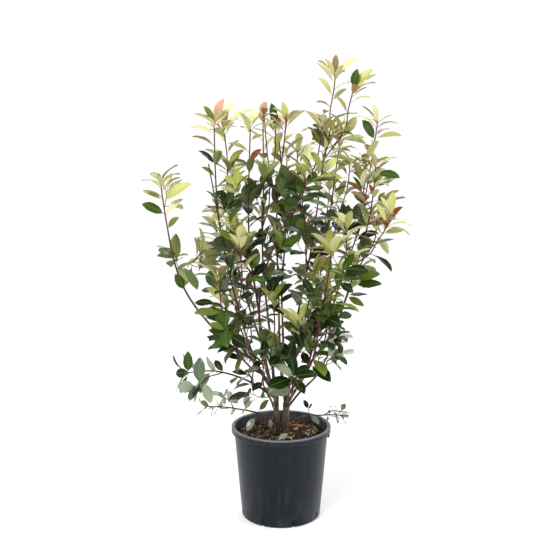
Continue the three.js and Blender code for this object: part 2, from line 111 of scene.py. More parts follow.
def between(ends: Sequence[float], share: float) -> float:
    """The value at a share of the way from the first end to the second."""
    return ends[0] + (ends[1] - ends[0]) * share


def unit(vector: Array) -> Array:
    """The vector at a length of one."""
    return vector / max(float(np.linalg.norm(vector)), TINY)


def squared(vector: Array, direction: Array) -> Array:
    """The part of a vector that is square to a direction, at a length of one."""
    return unit(vector - direction * float(vector @ direction))


def turned(vector: Array, axis: Array, angle: float) -> Array:
    """A vector turned about an axis of length one, by an angle in radians."""
    along = axis * float(axis @ vector) * (1 - math.cos(angle))
    return vector * math.cos(angle) + np.cross(axis, vector) * math.sin(angle) + along


def round_angles(count: int) -> list[float]:
    """Even angles all the way round, in radians."""
    return [FULL_TURN * k / count for k in range(count)]


class Draw(Enum):
    """What a chance decides, so that two draws of one node differ."""

    SWAY = 1
    FIRST_TURN = 2
    LEAF_SIZE = 3
    LEAF_ANGLE = 4
    TWIG = 5
    TWIG_LENGTH = 6
    TWIG_ANGLE = 7
    LEAF_ROLL = 8
    LEAF_SHAPE = 9
    TINT = 10
    SPRAY = 13


def drawn(draw: Draw, *keys: int) -> float:
    """The share that a named draw gives for these keys."""
    return chance(*keys, draw.value)


# ---- Limbs as lines ----


@dataclass(frozen=True)
class Place:
    """A place on a limb: its point, the way the limb heads, its radius and its side."""

    point: Array
    direction: Array
    radius: float
    side: Array


class LimbLine:
    """The line of a limb, which tapers evenly from its root to its tip."""

    MOST_LEVEL_RISE = 0.5

    def __init__(self, points: Array, radii: Pair) -> None:
        """Works out the limb's lengths and directions.

        Args:
            points: Its points in order.
            radii: Its radius at the root and at the tip.
        """
        self.points = np.asarray(points, float)
        self.radii = radii
        steps = np.diff(self.points, axis=0)
        lengths = np.linalg.norm(steps, axis=1)
        self.reaches = np.concatenate([[0.0], np.cumsum(lengths)])
        self.headings = steps / lengths[:, None]
        level = abs(self.headings[0][2]) < self.MOST_LEVEL_RISE
        self.sides = [squared(UP if level else FRONT, self.headings[0])]
        for heading in self.headings[1:]:
            self.sides.append(squared(self.sides[-1], heading))

    @property
    def length(self) -> float:
        """The limb's length along its line."""
        return float(self.reaches[-1])

    def at(self, share: float) -> Place:
        """Finds a place on the limb.

        Args:
            share: The share of its length that lies before it.

        Returns:
            The place.
        """
        reach = min(max(share, 0.0), 1.0) * self.length
        i = int(np.clip(np.searchsorted(self.reaches, reach), 1, len(self.points) - 1))
        part = (reach - self.reaches[i - 1]) / (self.reaches[i] - self.reaches[i - 1])
        point = self.points[i - 1] * (1 - part) + self.points[i] * part
        ahead = self.headings[min(i, len(self.headings) - 1)]
        direction = unit(self.headings[i - 1] * (1 - part / 2) + ahead * (part / 2))
        side = squared(self.sides[i - 1], direction)
        return Place(point, direction, between(self.radii, share), side)

    def stretch(self, start: float, end: float, radii: Pair, count: int) -> LimbLine:
        """The stretch between two shares of the length, as a line of so many pieces."""
        shares = [between((start, end), i / count) for i in range(count + 1)]
        return LimbLine(np.array([self.at(share).point for share in shares]), radii)


def bent_line(root: Array, tip: Array, bend: Array, radii: Pair, key: int, count: int,
              sway: float) -> LimbLine:
    """Draws a bent line that sways a little.

    Args:
        root: Where it starts.
        tip: Where it ends.
        bend: How far its middle lies from the straight line between them.
        radii: Its radius at the root and at the tip.
        key: Names its chances.
        count: Into how many pieces it is divided.
        sway: How far it wanders.

    Returns:
        The line.
    """
    control = (root + tip) / 2 + 2 * bend
    points = []
    for i in range(count + 1):
        share = i / count
        point = (1 - share) ** 2 * root + 2 * share * (1 - share) * control + share**2 * tip
        swing = sway * math.sin(math.pi * share)
        waves = [FULL_TURN * (Cane.WAVES * share + drawn(Draw.SWAY, key, axis)) for axis in (0, 1)]
        points.append(point + np.array([*(swing * math.sin(wave) for wave in waves), 0.0]))
    return LimbLine(np.array(points), radii)


def distances(points: Array, starts: Array, ends: Array) -> Array:
    """Measures how far each point lies from each straight piece.

    Args:
        points: The points, one a row.
        starts: Where each piece starts, one a row.
        ends: Where each piece ends, one a row.

    Returns:
        A table with a row for each point and a column for each piece.
    """
    spans = ends - starts
    squares = np.maximum((spans**2).sum(1), TINY)
    offsets = points[:, None, :] - starts[None, :, :]
    shares = np.clip((offsets * spans[None]).sum(2) / squares, 0.0, 1.0)
    return np.linalg.norm(offsets - shares[..., None] * spans[None], axis=2)


# ---- The shrub's own sizes ----


@dataclass(frozen=True)
class Trunk:
    """One of the two trunks: its name, its foot, its head and its radius at each."""

    name: str
    foot: Pair
    head: Point
    radii: Pair


TRUNKS = (
    Trunk("trunk_left", (-13, -7), (-14, -3, 351), (8.6, 7.2)),
    Trunk("trunk_right", (12, 7), (15, 8, 322), (10.4, 9.2)),
)


@dataclass(frozen=True)
class Fork:
    """A leafy cane that branches from another one: where on it, its tip and its bend."""

    at: float
    tip: Point
    bend: Point


@dataclass(frozen=True)
class Cane:
    """A cane: a bare bough and then a leafy part.

    Attributes:
        at: The share of its parent's bare length where it starts.
        bend: How far its middle lies from the straight line to its tip.
        bare: The share of it that has no leaves.
        small: The size of its leaves and limbs over the usual size.
        blush: How much of its young growth is bronze or red.
        spring: How far from its tip its young growth reaches, and 0 if it has none.
        rest: The shares of it between which its own line has no leaves, past the bare part.
        airy: How far apart its leaves are over the usual distance.
    """

    name: str
    parent: str
    at: float
    tip: Point
    bend: Point
    bare: float
    forks: tuple[Fork, ...]
    small: float = 1.0
    blush: float = 0.12
    spring: float = 190.0
    rest: Pair = (1.0, 1.0)
    airy: float = 1.0

    FOOT_RADIUS = 5.4
    HEAD_RADIUS = 2.9
    TIP_RADIUS = 1.6
    PARENT_SHARE = 0.8
    SAMPLES = 24
    FORK_SAMPLES = 12
    SWAY = 5.0
    WAVES = 1.4
    FORK_KEY = 100


CANES = (
    Cane("left_mid", "trunk_left", 0.97, (-178, -25, 1106), (-40, -8, -70), 0.27,
         (Fork(0.5, (-160, 78, 1084), (10, 22, -10)),)),
    Cane("far_left", "left_mid", 0.55, (-318, -62, 946), (-50, -12, -64), 0.56,
         (Fork(0.6, (-208, 20, 760), (-6, 10, -14)),), rest=(0.64, 0.84)),
    Cane("centre_left", "trunk_left", 0.8, (-80, -104, 1092), (-26, -34, -30), 0.32,
         (Fork(0.5, (-120, -150, 836), (-8, -14, -10)),)),
    Cane("leader", "trunk_left", 0.9, (158, -50, 1062), (-112, -96, 14), 0.32,
         (Fork(0.9, (140, -34, 1226), (4, 2, -12)), Fork(0.93, (186, -66, 1188), (8, -6, -16)),
          Fork(0.66, (106, -104, 1092), (10, -12, -20))), blush=0.22),
    Cane("low_left", "trunk_left", 0.88, (-260, -78, 430), (-6, -2, 36), 0.4,
         (Fork(0.62, (-228, -100, 402), (0, -4, 6)),),
         small=0.9, spring=0, airy=1.7),
    Cane("centre", "trunk_right", 0.97, (130, 22, 1070), (-4, 2, 0), 0.34,
         (Fork(0.52, (64, -46, 986), (-8, -18, -10)),)),
    Cane("centre_back", "trunk_right", 0.86, (16, 70, 1112), (-28, 22, -10), 0.34,
         (Fork(0.56, (46, 118, 1026), (14, 10, -10)),)),
    Cane("twin_back", "trunk_left", 0.7, (-50, 84, 1120), (-14, 40, -20), 0.34,
         (Fork(0.62, (-16, 140, 1090), (8, 20, -14)),)),
    Cane("right", "centre", 0.34, (162, 104, 1030), (10, 34, -30), 0.26,
         (Fork(0.5, (200, 184, 990), (16, 20, -20)),)),
    Cane("right_back", "right", 0.3, (272, 130, 1106), (36, 26, -50), 0.36,
         (Fork(0.5, (234, 70, 1000), (6, -22, -16)),), blush=0.26),
    Cane("far_right", "centre", 0.22, (254, -6, 990), (42, -20, -56), 0.44,
         (Fork(0.6, (282, -44, 836), (8, -8, -8)), Fork(0.54, (276, 62, 884), (14, 14, -16))),
         blush=0.4),
    Cane("right_mid", "far_right", 0.42, (152, -118, 696), (-2, -26, -14), 0.26,
         (Fork(0.4, (204, -56, 728), (12, 4, -12)),), blush=0.1, spring=110),
    Cane("right_low", "trunk_right", 0.78, (156, -62, 522), (4, -4, -4), 0.56,
         (Fork(0.64, (138, -36, 466), (6, 4, 0)),), small=0.66, spring=0, airy=1.7),
    Cane("front_right", "centre", 0.14, (124, -206, 790), (14, -54, -56), 0.32,
         (Fork(0.5, (166, -164, 842), (16, -10, -24)),), blush=0.1, spring=120),
    Cane("front_low", "trunk_right", 0.9, (46, -200, 602), (2, -34, -30), 0.36,
         (Fork(0.5, (-22, -190, 656), (-12, -20, -12)),), blush=0.05, spring=60),
    Cane("front_left", "centre_left", 0.5, (-160, -182, 716), (-24, -36, -36), 0.26,
         (Fork(0.45, (-104, -204, 800), (6, -24, -16)),), blush=0.1, spring=110),
    Cane("left_low", "left_mid", 0.36, (-130, -92, 546), (-16, -12, -12), 0.3,
         (Fork(0.4, (-150, -84, 620), (-8, -8, -14)),), blush=0.0, spring=40),
    Cane("low_front", "trunk_left", 0.6, (-52, -146, 500), (-6, -22, -18), 0.34,
         (Fork(0.5, (-88, -112, 444), (-10, 2, -4)),), small=0.86, spring=0),
    Cane("inner_right", "centre", 0.1, (128, -36, 690), (12, -12, -34), 0.26,
         (Fork(0.4, (82, -72, 640), (-6, -14, -14)),), blush=0.05, spring=90),
    Cane("back_left", "twin_back", 0.4, (-142, 214, 950), (-32, 52, -46), 0.34,
         (Fork(0.5, (-190, 164, 810), (-18, 10, -20)),)),
    Cane("back_centre", "centre_back", 0.3, (18, 244, 1008), (-2, 54, -56), 0.34,
         (Fork(0.45, (-58, 262, 836), (-14, 20, -20)),)),
    Cane("back_right", "right", 0.5, (146, 244, 922), (10, 40, -44), 0.34,
         (Fork(0.45, (78, 228, 750), (-12, 20, -20)),)),
    Cane("back_low_left", "twin_back", 0.2, (-134, 150, 590), (-22, 22, -24), 0.36,
         (Fork(0.5, (-84, 206, 572), (6, 20, -16)),), spring=30),
    Cane("back_low_right", "trunk_right", 0.94, (130, 150, 600), (16, 22, -22), 0.36,
         (Fork(0.5, (116, 118, 690), (-4, -2, -24)),), spring=30),
    Cane("sprig_left", "trunk_left", 0.36, (-218, 40, 300), (0, 6, 10), 0.5,
         (Fork(0.6, (-172, 86, 318), (0, 8, 6)),), small=0.56, spring=0, airy=1.6),
    Cane("sprig_right", "trunk_right", 0.34, (178, 30, 276), (0, 4, 10), 0.52,
         (Fork(0.66, (188, 64, 274), (0, 6, 8)),), small=0.46, spring=0, airy=1.9),
)


@dataclass(frozen=True)
class Limb:
    """A trunk, or a cane with the leafy lines that grow from its bare bough."""

    bough: LimbLine
    cane: Cane | None = None
    index: int = 0
    leafy: tuple[LimbLine, ...] = ()


def grow_limbs(soil_top: float) -> dict[str, Limb]:
    """Grows the line of every trunk and cane.

    Args:
        soil_top: The height that the trunks start at.

    Returns:
        The limbs by name.
    """
    grown: dict[str, Limb] = {}
    for trunk in TRUNKS:
        ends = np.array([[*trunk.foot, soil_top], trunk.head], float)
        grown[trunk.name] = Limb(LimbLine(ends, trunk.radii))
    for index, cane in enumerate(CANES):
        root = grown[cane.parent].bough.at(cane.at)
        foot = min(Cane.FOOT_RADIUS, root.radius * Cane.PARENT_SHARE) * cane.small
        head = min(Cane.HEAD_RADIUS, foot * Cane.PARENT_SHARE)
        whole = bent_line(root.point, np.array(cane.tip, float), np.array(cane.bend, float),
                          (foot, Cane.TIP_RADIUS), index, Cane.SAMPLES, Cane.SWAY)
        bough = whole.stretch(0, cane.bare, (foot, head), Cane.SAMPLES)
        leafy = whole.stretch(cane.bare, 1, (head, Cane.TIP_RADIUS), Cane.SAMPLES)
        lines = [leafy]
        for order, fork in enumerate(cane.forks):
            start = leafy.at((fork.at - cane.bare) / (1 - cane.bare))
            radii = (start.radius * Cane.PARENT_SHARE, Cane.TIP_RADIUS)
            lines.append(bent_line(
                start.point, np.array(fork.tip, float), np.array(fork.bend, float), radii,
                Cane.FORK_KEY * (order + 1) + index, Cane.FORK_SAMPLES, Cane.SWAY))
        grown[cane.name] = Limb(bough, cane, index, tuple(lines))
    return grown


# ---- The growing rule ----


class Tint(Enum):
    """A leaf's colour, from the oldest and lowest leaves to the youngest."""

    DEEP = "deep"
    SAGE = "sage"
    # Pale grey-green leaves: their colour is a painted sheen of glossy low leaves.
    DUSTY = "dusty"
    GREEN = "green"
    MOSS = "moss"
    FRESH = "fresh"
    LIME = "lime"
    PALE = "pale"
    BRONZE = "bronze"
    ROSE = "rose"
    RUST = "rust"
    PLUM = "plum"


@dataclass(frozen=True)
class Age:
    """The tints of the leaves that are younger than this, each with the top of its range.

    Attributes:
        low: Whether they grow only near the ground.
        sprig: Whether they grow only on a low sprig.
    """

    youth: float
    shares: tuple[tuple[Tint, float], ...]
    low: bool = False
    sprig: bool = False

    LOW_HEIGHT = 480
    OLDEST = -9.0

    def holds(self, youth: float, height: float, on_sprig: bool) -> bool:
        """Whether a leaf of this youth and height, on a low sprig or not, has these tints."""
        grows = (on_sprig or not self.sprig) and (height < self.LOW_HEIGHT or not self.low)
        return grows and youth > self.youth


BLUSHES = (
    Age(0.55, ((Tint.ROSE, 0.42), (Tint.BRONZE, 0.8), (Tint.RUST, 1.0))),
    Age(0.1, ((Tint.BRONZE, 0.66), (Tint.RUST, 1.0))),
)
AGES = (
    Age(0.72, ((Tint.PALE, 0.58), (Tint.LIME, 1.0))),
    Age(0.42, ((Tint.PALE, 0.3), (Tint.LIME, 0.66), (Tint.FRESH, 1.0))),
    Age(0.1, ((Tint.LIME, 0.34), (Tint.FRESH, 0.58), (Tint.MOSS, 0.82), (Tint.GREEN, 1.0))),
    # Near the ground many leaves take the pale grey-green tint of painted sheen.
    Age(Age.OLDEST, ((Tint.DUSTY, 0.6), (Tint.SAGE, 0.85), (Tint.GREEN, 1.0)), True, True),
    Age(Age.OLDEST, ((Tint.DUSTY, 0.43), (Tint.SAGE, 0.54), (Tint.DEEP, 0.78),
                     (Tint.GREEN, 1.0)), True),
    Age(-0.8, ((Tint.FRESH, 0.22), (Tint.MOSS, 0.42), (Tint.GREEN, 0.68), (Tint.DEEP, 1.0))),
    Age(Age.OLDEST, ((Tint.MOSS, 0.2), (Tint.GREEN, 0.42), (Tint.DEEP, 0.86), (Tint.SAGE, 1.0))),
)


@dataclass(frozen=True)
class Shoot:
    """A thin shoot or a pruned cane that no solid stands for.

    Attributes:
        at: The share of the trunk, or of the cane's leafy part, where it starts.
        line: The places that it passes.
        leaves: The tips of the leaves at its end.
    """

    parent: str
    at: float
    line: tuple[Point, ...]
    leaves: tuple[Point, ...] = ()
    # Shoots take the pale grey-green tint of painted sheen unless told otherwise.
    tint: Tint = Tint.DUSTY
    radius: float = 1.3

    KEY = 5000
    TAPER = 0.8


SHOOTS = (
    Shoot("trunk_left", 0.12, ((-46, 4, 262), (-72, 14, 278)), ((-97, -8, 244),)),
    Shoot("trunk_left", 0.2, ((-46, 6, 272), (-64, 20, 294)), ((-35, 10, 329),), Tint.MOSS),
    Shoot("trunk_left", 0.3, ((-70, 18, 288), (-103, 10, 303)), ((-80, 0, 329), (-92, 20, 344))),
    Shoot("trunk_right", 0.14, ((18, -30, 260), (20, -60, 256)), ((-7, -86, 245),)),
    Shoot("trunk_left", 0.1, ((-34, -34, 252), (-52, -56, 246)), ((-70, -74, 248),), Tint.GREEN),
    Shoot("trunk_left", 0.06, ((-30, -10, 248),), ((-30, -14, 281),)),
    Shoot("trunk_right", 0.1, ((52, 44, 256), (82, 50, 262), (79, 44, 292)),
          ((64, 40, 320), (90, 30, 311)), Tint.DEEP),
    Shoot("trunk_right", 0.14, ((56, 36, 270), (85, 40, 278)), ((107, 14, 257),)),
    Shoot("centre_back", 0.54, ((-37, 34, 1006), (-48, 20, 1135)), radius=2.2),
    Shoot("centre_back", 0.7, ((9, 40, 1055), (14, 36, 1124)), radius=2.2),
    Shoot("centre_back", 0.6, ((4, 36, 940), (-5, 30, 1050)), radius=2.2),
    Shoot("centre_back", 0.62, ((10, 30, 940), (22, 28, 985)), radius=2.0),
    Shoot("left_mid", 0.44, ((-174, -32, 880), (-193, -40, 993)), radius=2.2),
)


@dataclass(frozen=True)
class KnownLeaf:
    """A leaf that stands out from the others.

    Attributes:
        line: 0 on its cane's bough, 1 on its own leafy part and more on its forks.
        at: The share of that line where it grows.
    """

    cane: str
    line: int
    at: float
    tip: Point
    tint: Tint

    KEY = 7000


KNOWN_LEAVES = tuple(KnownLeaf(*known) for known in (
    ("far_left", 1, 0.82, (-364, -71, 921), Tint.LIME),
    ("far_left", 1, 0.66, (-368, -71, 889), Tint.GREEN),
    ("far_left", 1, 0.79, (-237, -76, 942), Tint.LIME),
    ("far_left", 1, 0.64, (-260, -56, 901), Tint.PALE),
    ("far_left", 1, 0.51, (-271, -66, 854), Tint.MOSS),
    ("far_left", 0, 0.87, (-285, -63, 701), Tint.GREEN),
    ("far_left", 0, 0.75, (-183, -67, 623), Tint.DEEP),
    ("low_left", 1, 0.95, (-251, -86, 495), Tint.GREEN),
    ("low_left", 2, 0.91, (-218, -92, 480), Tint.SAGE),
    ("low_left", 2, 0.82, (-248, -109, 363), Tint.SAGE),
    ("low_left", 2, 0.76, (-189, -106, 356), Tint.DUSTY),
    ("leader", 2, 0.99, (142, -29, 1276), Tint.BRONZE),
    ("leader", 2, 0.94, (200, -25, 1267), Tint.PALE),
    ("leader", 3, 0.94, (235, -77, 1236), Tint.LIME),
    ("leader", 3, 0.99, (194, -84, 1236), Tint.GREEN),
    ("leader", 2, 0.75, (95, -56, 1215), Tint.LIME),
    ("leader", 2, 0.62, (89, -68, 1153), Tint.BRONZE),
    ("left_mid", 1, 0.99, (-206, -30, 1144), Tint.MOSS),
    ("left_mid", 1, 1.0, (-151, -25, 1162), Tint.ROSE),
    ("left_mid", 1, 0.97, (-119, -40, 1151), Tint.PALE),
    ("left_mid", 1, 0.94, (-240, -41, 1089), Tint.PALE),
    ("left_mid", 2, 1.0, (-85, 53, 1135), Tint.PALE),
    ("left_mid", 1, 0.8, (-220, -41, 1027), Tint.DEEP),
    ("centre_left", 1, 1.0, (-68, -109, 1137), Tint.PALE),
    ("centre_left", 1, 0.81, (-124, -125, 1003), Tint.DEEP),
    ("twin_back", 2, 1.0, (-28, 135, 1156), Tint.GREEN),
    ("centre_back", 1, 0.98, (4, 66, 1158), Tint.LIME),
    ("right_back", 1, 0.99, (257, 125, 1153), Tint.PALE),
    ("right_back", 1, 0.88, (227, 119, 1109), Tint.GREEN),
    ("right_back", 1, 0.9, (339, 115, 1065), Tint.LIME),
    ("far_right", 1, 0.93, (317, -23, 955), Tint.GREEN),
    ("far_right", 2, 0.78, (325, -52, 816), Tint.LIME),
    ("far_right", 2, 0.81, (316, -98, 884), Tint.RUST),
    ("far_right", 1, 0.77, (235, -21, 939), Tint.RUST),
    ("right_mid", 2, 0.55, (221, -76, 616), Tint.MOSS),
    ("right_mid", 2, 0.76, (263, -76, 703), Tint.MOSS),
    ("right_mid", 2, 0.73, (268, -77, 676), Tint.GREEN),
    ("centre_left", 1, 0.3, (-88, -117, 673), Tint.PLUM),
))
YOUNG_TINTS = {Tint.LIME, Tint.PALE, Tint.ROSE, Tint.BRONZE, Tint.RUST}


@dataclass(frozen=True)
class Leaf:
    """A leaf.

    Attributes:
        along: The way that it heads at its root.
        face: The way that its upper side looks there.
        width: The width that it keeps clear, over its length.
        shape: The number of its shape.
    """

    root: Array
    along: Array
    face: Array
    length: float
    width: float
    shape: int
    tint: Tint

    # Shares along the leaf, to its side and up from it.
    PROBES = ((0.34, 0, -0.02), (0.55, 0, -0.06), (0.78, 0, -0.12), (1.0, 0, -0.22),
              (0.42, 0.4, 0), (0.42, -0.4, 0), (0.62, 0.48, -0.04), (0.62, -0.48, -0.04),
              (0.84, 0.3, -0.12), (0.84, -0.3, -0.12))

    def probes(self) -> Array:
        """Finds points all over the leaf, for asking whether it has room.

        Returns:
            The points, one a row.
        """
        across = np.cross(self.along, self.face)
        return np.array([
            self.root + self.length * (a * self.along + self.width * s * across + h * self.face)
            for a, s, h in self.PROBES])


@dataclass(frozen=True)
class Stem:
    """A leafy line: a cane, a fork of it, a shoot or a twig.

    Attributes:
        key: Names its chances.
        behind: How far its tip lies behind the tip of its cane.
    """

    line: LimbLine
    key: int
    limb: Limb
    behind: float = 0.0

    def from_tip(self, share: float) -> float:
        """How far a share of it lies behind the tip of its cane."""
        return (1 - share) * self.line.length + self.behind

    def youth(self, share: float) -> float:
        """How young it is there: 1 at the tip of a strong cane, and 0 or less in old wood."""
        spring = self.limb.cane.spring
        return 1 - self.from_tip(share) / spring if spring else -1.0

    def rests(self, share: float) -> bool:
        """Whether it has no leaves there, which only a cane's own line may have."""
        bare, (low, high) = self.limb.cane.bare, self.limb.cane.rest
        return self.line is self.limb.leafy[0] and low < between((bare, 1.0), share) < high


@dataclass(frozen=True)
class GrowingRule:
    """How twigs and leaves grow up a stem. Angles in degrees.

    Attributes:
        spread: Between leaf and stem, at the foot and the tip; chance scales it by spread_play.
        leaf_root: How far from the stem's middle a leaf starts, over the stem's radius.
        broad: Leaves older than this are broad.
        clear: The width that a slender and a broad leaf keep clear, over their length.
        folds: Shares of its angle that a crowded leaf tries, in so many ways round the stem.
        face_up: How far a leaf's face turns from along its stem to straight up.
        face_front: How far the face of a leaf in a known place turns to the front.
        twig_share: The share of nodes with a twig in place of a leaf, up to twig_limit.
        twig_taper: The most that its radius is over its stem's.
        fork_age: How far behind a fork's tip counts, over how far it lies below the cane's.
        tall: The height from which a cane's tips are as pale as they get.
        fade: How fast the tips of lower canes grow darker, partly by age and partly as painted
            shade of the lower crown.
        sprig: A cane with leaves smaller than this is a low sprig.
        spray: How much of a leaf's tint is its whole spray's.
        blush: The share of a cane's blush that its oldest and its youngest growth have.
    """

    internode: float = 28
    turn: float = 137.5
    spread: Pair = (58, 40)
    spread_play: Pair = (0.8, 1.2)
    length: Pair = (52, 90)
    tip_shrink: float = 0.12
    leaf_root: float = 0.5
    broad: float = 0.15
    clear: Pair = (0.31, 0.4)
    folds: tuple[float, ...] = (1.0, 0.72, 1.3, 0.5)
    ways: int = 5
    face_up: float = 0.5
    face_front: float = 0.8
    roll: float = 24
    twig_share: float = 0.22
    twig_limit: float = 0.8
    twig_length: Pair = (46, 88)
    twig_angle: Pair = (34, 54)
    twig_rise: float = 0.12
    twig_radius: float = 1.5
    twig_taper: float = 0.6
    twig_tip: float = 0.8
    twig_samples: int = 5
    tuft: int = 6
    tuft_spacing: float = 4.5
    tuft_angle: float = 37
    fork_age: float = 0.5
    tall: float = 1050
    fade: float = 2.6
    sprig: float = 0.6
    spray: float = 0.4
    blush: Pair = (0.35, 1.0)
    cane_key: int = 10
    node_key: int = 100
    twig_key: int = 2


@dataclass(frozen=True)
class Room:
    """The room that leaves and twigs keep.

    Attributes:
        near: No leaf reaches farther than this from another one's middle to touch it.
        crossing: How far they may cross the border of the next cane's space.
        sideways: The least and the greatest place across.
    """

    between_leaves: float = 6.0
    near: float = 90.0
    to_stem: float = 3.0
    to_limb: float = 3.0
    over_pot: float = 4.0
    round_pot: float = 4.0
    crossing: float = 14.0
    sideways: Pair = (-376.0, 348.0)


@dataclass
class Crown:
    """The shrub's twigs and leaves, grown by the rule on the trunks and canes."""

    limbs: dict[str, Limb]
    pot: Pot
    rule: GrowingRule = GrowingRule()
    room: Room = Room()

    def __post_init__(self) -> None:
        """Grows all the stems and leaves."""
        self.stems: list[Stem] = []
        self.twigs: list[Stem] = []
        self.leaves: list[Leaf] = []
        self._leaf_points = np.zeros((0, 3))
        self._stem_starts, self._stem_ends = np.zeros((0, 3)), np.zeros((0, 3))
        self._stem_owner = np.zeros(0, int)
        boughs = [limb.bough for limb in self.limbs.values()]
        canes = [limb for limb in self.limbs.values() if limb.cane]
        self._boughs = self._pieces(boughs)
        self._bough_radii = np.concatenate(
            [np.full(len(bough.headings), bough.radii[0]) for bough in boughs])
        self._homes = self._pieces(line for limb in canes for line in limb.leafy)
        self._home_of = np.concatenate(
            [np.full(len(line.headings), limb.index) for limb in canes for line in limb.leafy])
        for limb in canes:
            for order, line in enumerate(limb.leafy):
                key = limb.index * self.rule.cane_key + order + 1
                below = max(0.0, limb.leafy[0].points[-1][2] - line.points[-1][2])
                self._add_stem(Stem(line, key, limb, self.rule.fork_age * below))
        leafy = list(self.stems)
        for order, shoot in enumerate(SHOOTS):
            self._add_shoot(shoot, Shoot.KEY + order)
        for order, known in enumerate(KNOWN_LEAVES):
            limb = self.limbs[known.cane]
            root = (limb.bough, *limb.leafy)[known.line].at(known.at).point
            self._lay_leaf(root, known.tip, known.tint, KnownLeaf.KEY + order)
        for stem in leafy:
            self._leaf_up(stem, branches=True)

    @staticmethod
    def _pieces(lines: Iterable[LimbLine]) -> tuple[Array, Array]:
        """The starts and ends of the straight pieces of some lines."""
        starts, ends = zip(*((line.points[:-1], line.points[1:]) for line in lines))
        return np.concatenate(starts), np.concatenate(ends)

    def _add_stem(self, stem: Stem) -> None:
        """Keeps a stem, and the room that it takes.

        Args:
            stem: The stem.
        """
        starts, ends = self._pieces([stem.line])
        self._stem_starts = np.concatenate([self._stem_starts, starts])
        self._stem_ends = np.concatenate([self._stem_ends, ends])
        owner = np.full(len(starts), len(self.stems))
        self._stem_owner = np.concatenate([self._stem_owner, owner])
        self.stems.append(stem)

    def _add_leaf(self, leaf: Leaf) -> None:
        """Keeps a leaf, and the room that it takes."""
        self._leaf_points = np.concatenate([self._leaf_points, leaf.probes()])
        self.leaves.append(leaf)

    def _add_shoot(self, shoot: Shoot, key: int) -> None:
        """Adds a shoot and its leaves where they are told to lie.

        Args:
            shoot: The shoot.
            key: Names its chances.
        """
        limb = self.limbs[shoot.parent]
        root = (limb.leafy[0] if limb.leafy else limb.bough).at(shoot.at).point
        radii = (shoot.radius, max(self.rule.twig_tip, Shoot.TAPER * shoot.radius))
        stem = Stem(LimbLine(np.array([root, *shoot.line], float), radii), key, limb)
        self._add_stem(stem)
        self.twigs.append(stem)
        for tip in shoot.leaves:
            self._lay_leaf(stem.line.points[-1], tip, shoot.tint, key)

    def _lay_leaf(self, root: Array, tip: Point, tint: Tint, key: int) -> None:
        """Adds a leaf whose root and tip lie where they are told to, whatever its arch.

        Args:
            root: Where it grows.
            tip: Where its tip lies.
            tint: Its tint, which also says whether it is slender.
            key: Names its chances.
        """
        number = shape_number(tint not in YOUNG_TINTS, key)
        shape = LEAF_SHAPES[number]
        half = math.radians(shape.arch) / 2
        span = np.array(tip, float) - root
        chord = unit(span)
        face = squared(UP + self.rule.face_front * FRONT, chord)
        along = chord * math.cos(half) + face * math.sin(half)
        length = float(np.linalg.norm(span)) * half / math.sin(half)
        self._add_leaf(Leaf(root, along, squared(face, along), length, shape.width, number, tint))

    def _fits(self, points: Array, limb: Limb) -> bool:
        """Says whether points lie over the pot, off the boughs and in the limb's own space.

        Args:
            points: The points, one a row.
            limb: The limb that they belong to.

        Returns:
            Whether they do.
        """
        room = self.room
        low = points[:, 2] < self.pot.height + room.over_pot
        inside = np.hypot(points[:, 0], points[:, 1]) < self.pot.rim_radius + room.round_pot
        if (low & inside).any():
            return False
        if points[:, 0].min() < room.sideways[0] or points[:, 0].max() > room.sideways[1]:
            return False
        if (distances(points, *self._boughs) - self._bough_radii).min() < room.to_limb:
            return False
        homes = distances(points, *self._homes)
        own = self._home_of == limb.index
        return bool((homes[:, own].min(1) - room.crossing < homes[:, ~own].min(1)).all())

    def _is_free(self, points: Array, stem: Stem) -> bool:
        """Says whether a leaf keeps off the other leaves and the stems it doesn't grow on.

        Args:
            points: Points all over the leaf.
            stem: The stem that it grows on.

        Returns:
            Whether it does.
        """
        others = self._stem_owner != self.stems.index(stem)
        gaps = distances(points, self._stem_starts[others], self._stem_ends[others])
        if gaps.min() < self.room.to_stem:
            return False
        away = np.abs(self._leaf_points - points.mean(0)).max(1)
        near = self._leaf_points[away < self.room.near]
        gaps = np.linalg.norm(near[None] - points[:, None], axis=2)
        return bool((gaps > self.room.between_leaves * stem.limb.cane.small).all())

    def _try_leaf(self, stem: Stem, share: float, turn: float, angle: float, key: int) -> None:
        """Adds the first leaf that has room, round the stem and then folded to it.

        Args:
            stem: The stem that it grows on.
            share: The share of the stem where it grows.
            turn: How far round the stem that is, in radians.
            angle: Between leaf and stem, in radians.
            key: Names its chances.
        """
        rule, place, youth = self.rule, stem.line.at(share), stem.youth(share)
        shrink = stem.limb.cane.small * (1 - rule.tip_shrink * share)
        length = shrink * between(rule.length, drawn(Draw.LEAF_SIZE, key))
        roll = math.radians(rule.roll) * (2 * drawn(Draw.LEAF_ROLL, key) - 1)
        broad = bool(youth < rule.broad)
        tint = self._tint(stem, place.point[2], youth, key)
        kind = (length, rule.clear[broad], shape_number(broad, key), tint)
        for fold in rule.folds:
            for way in range(rule.ways):
                out = turned(place.side, place.direction, turn + FULL_TURN * way / rule.ways)
                spread = angle * fold
                along = place.direction * math.cos(spread) + out * math.sin(spread)
                face = turned(squared(place.direction + UP * rule.face_up, along), along, roll)
                root = place.point + along * place.radius * rule.leaf_root
                leaf = Leaf(root, along, face, *kind)
                points = leaf.probes()
                if self._fits(points, stem.limb) and self._is_free(points, stem):
                    self._add_leaf(leaf)
                    return

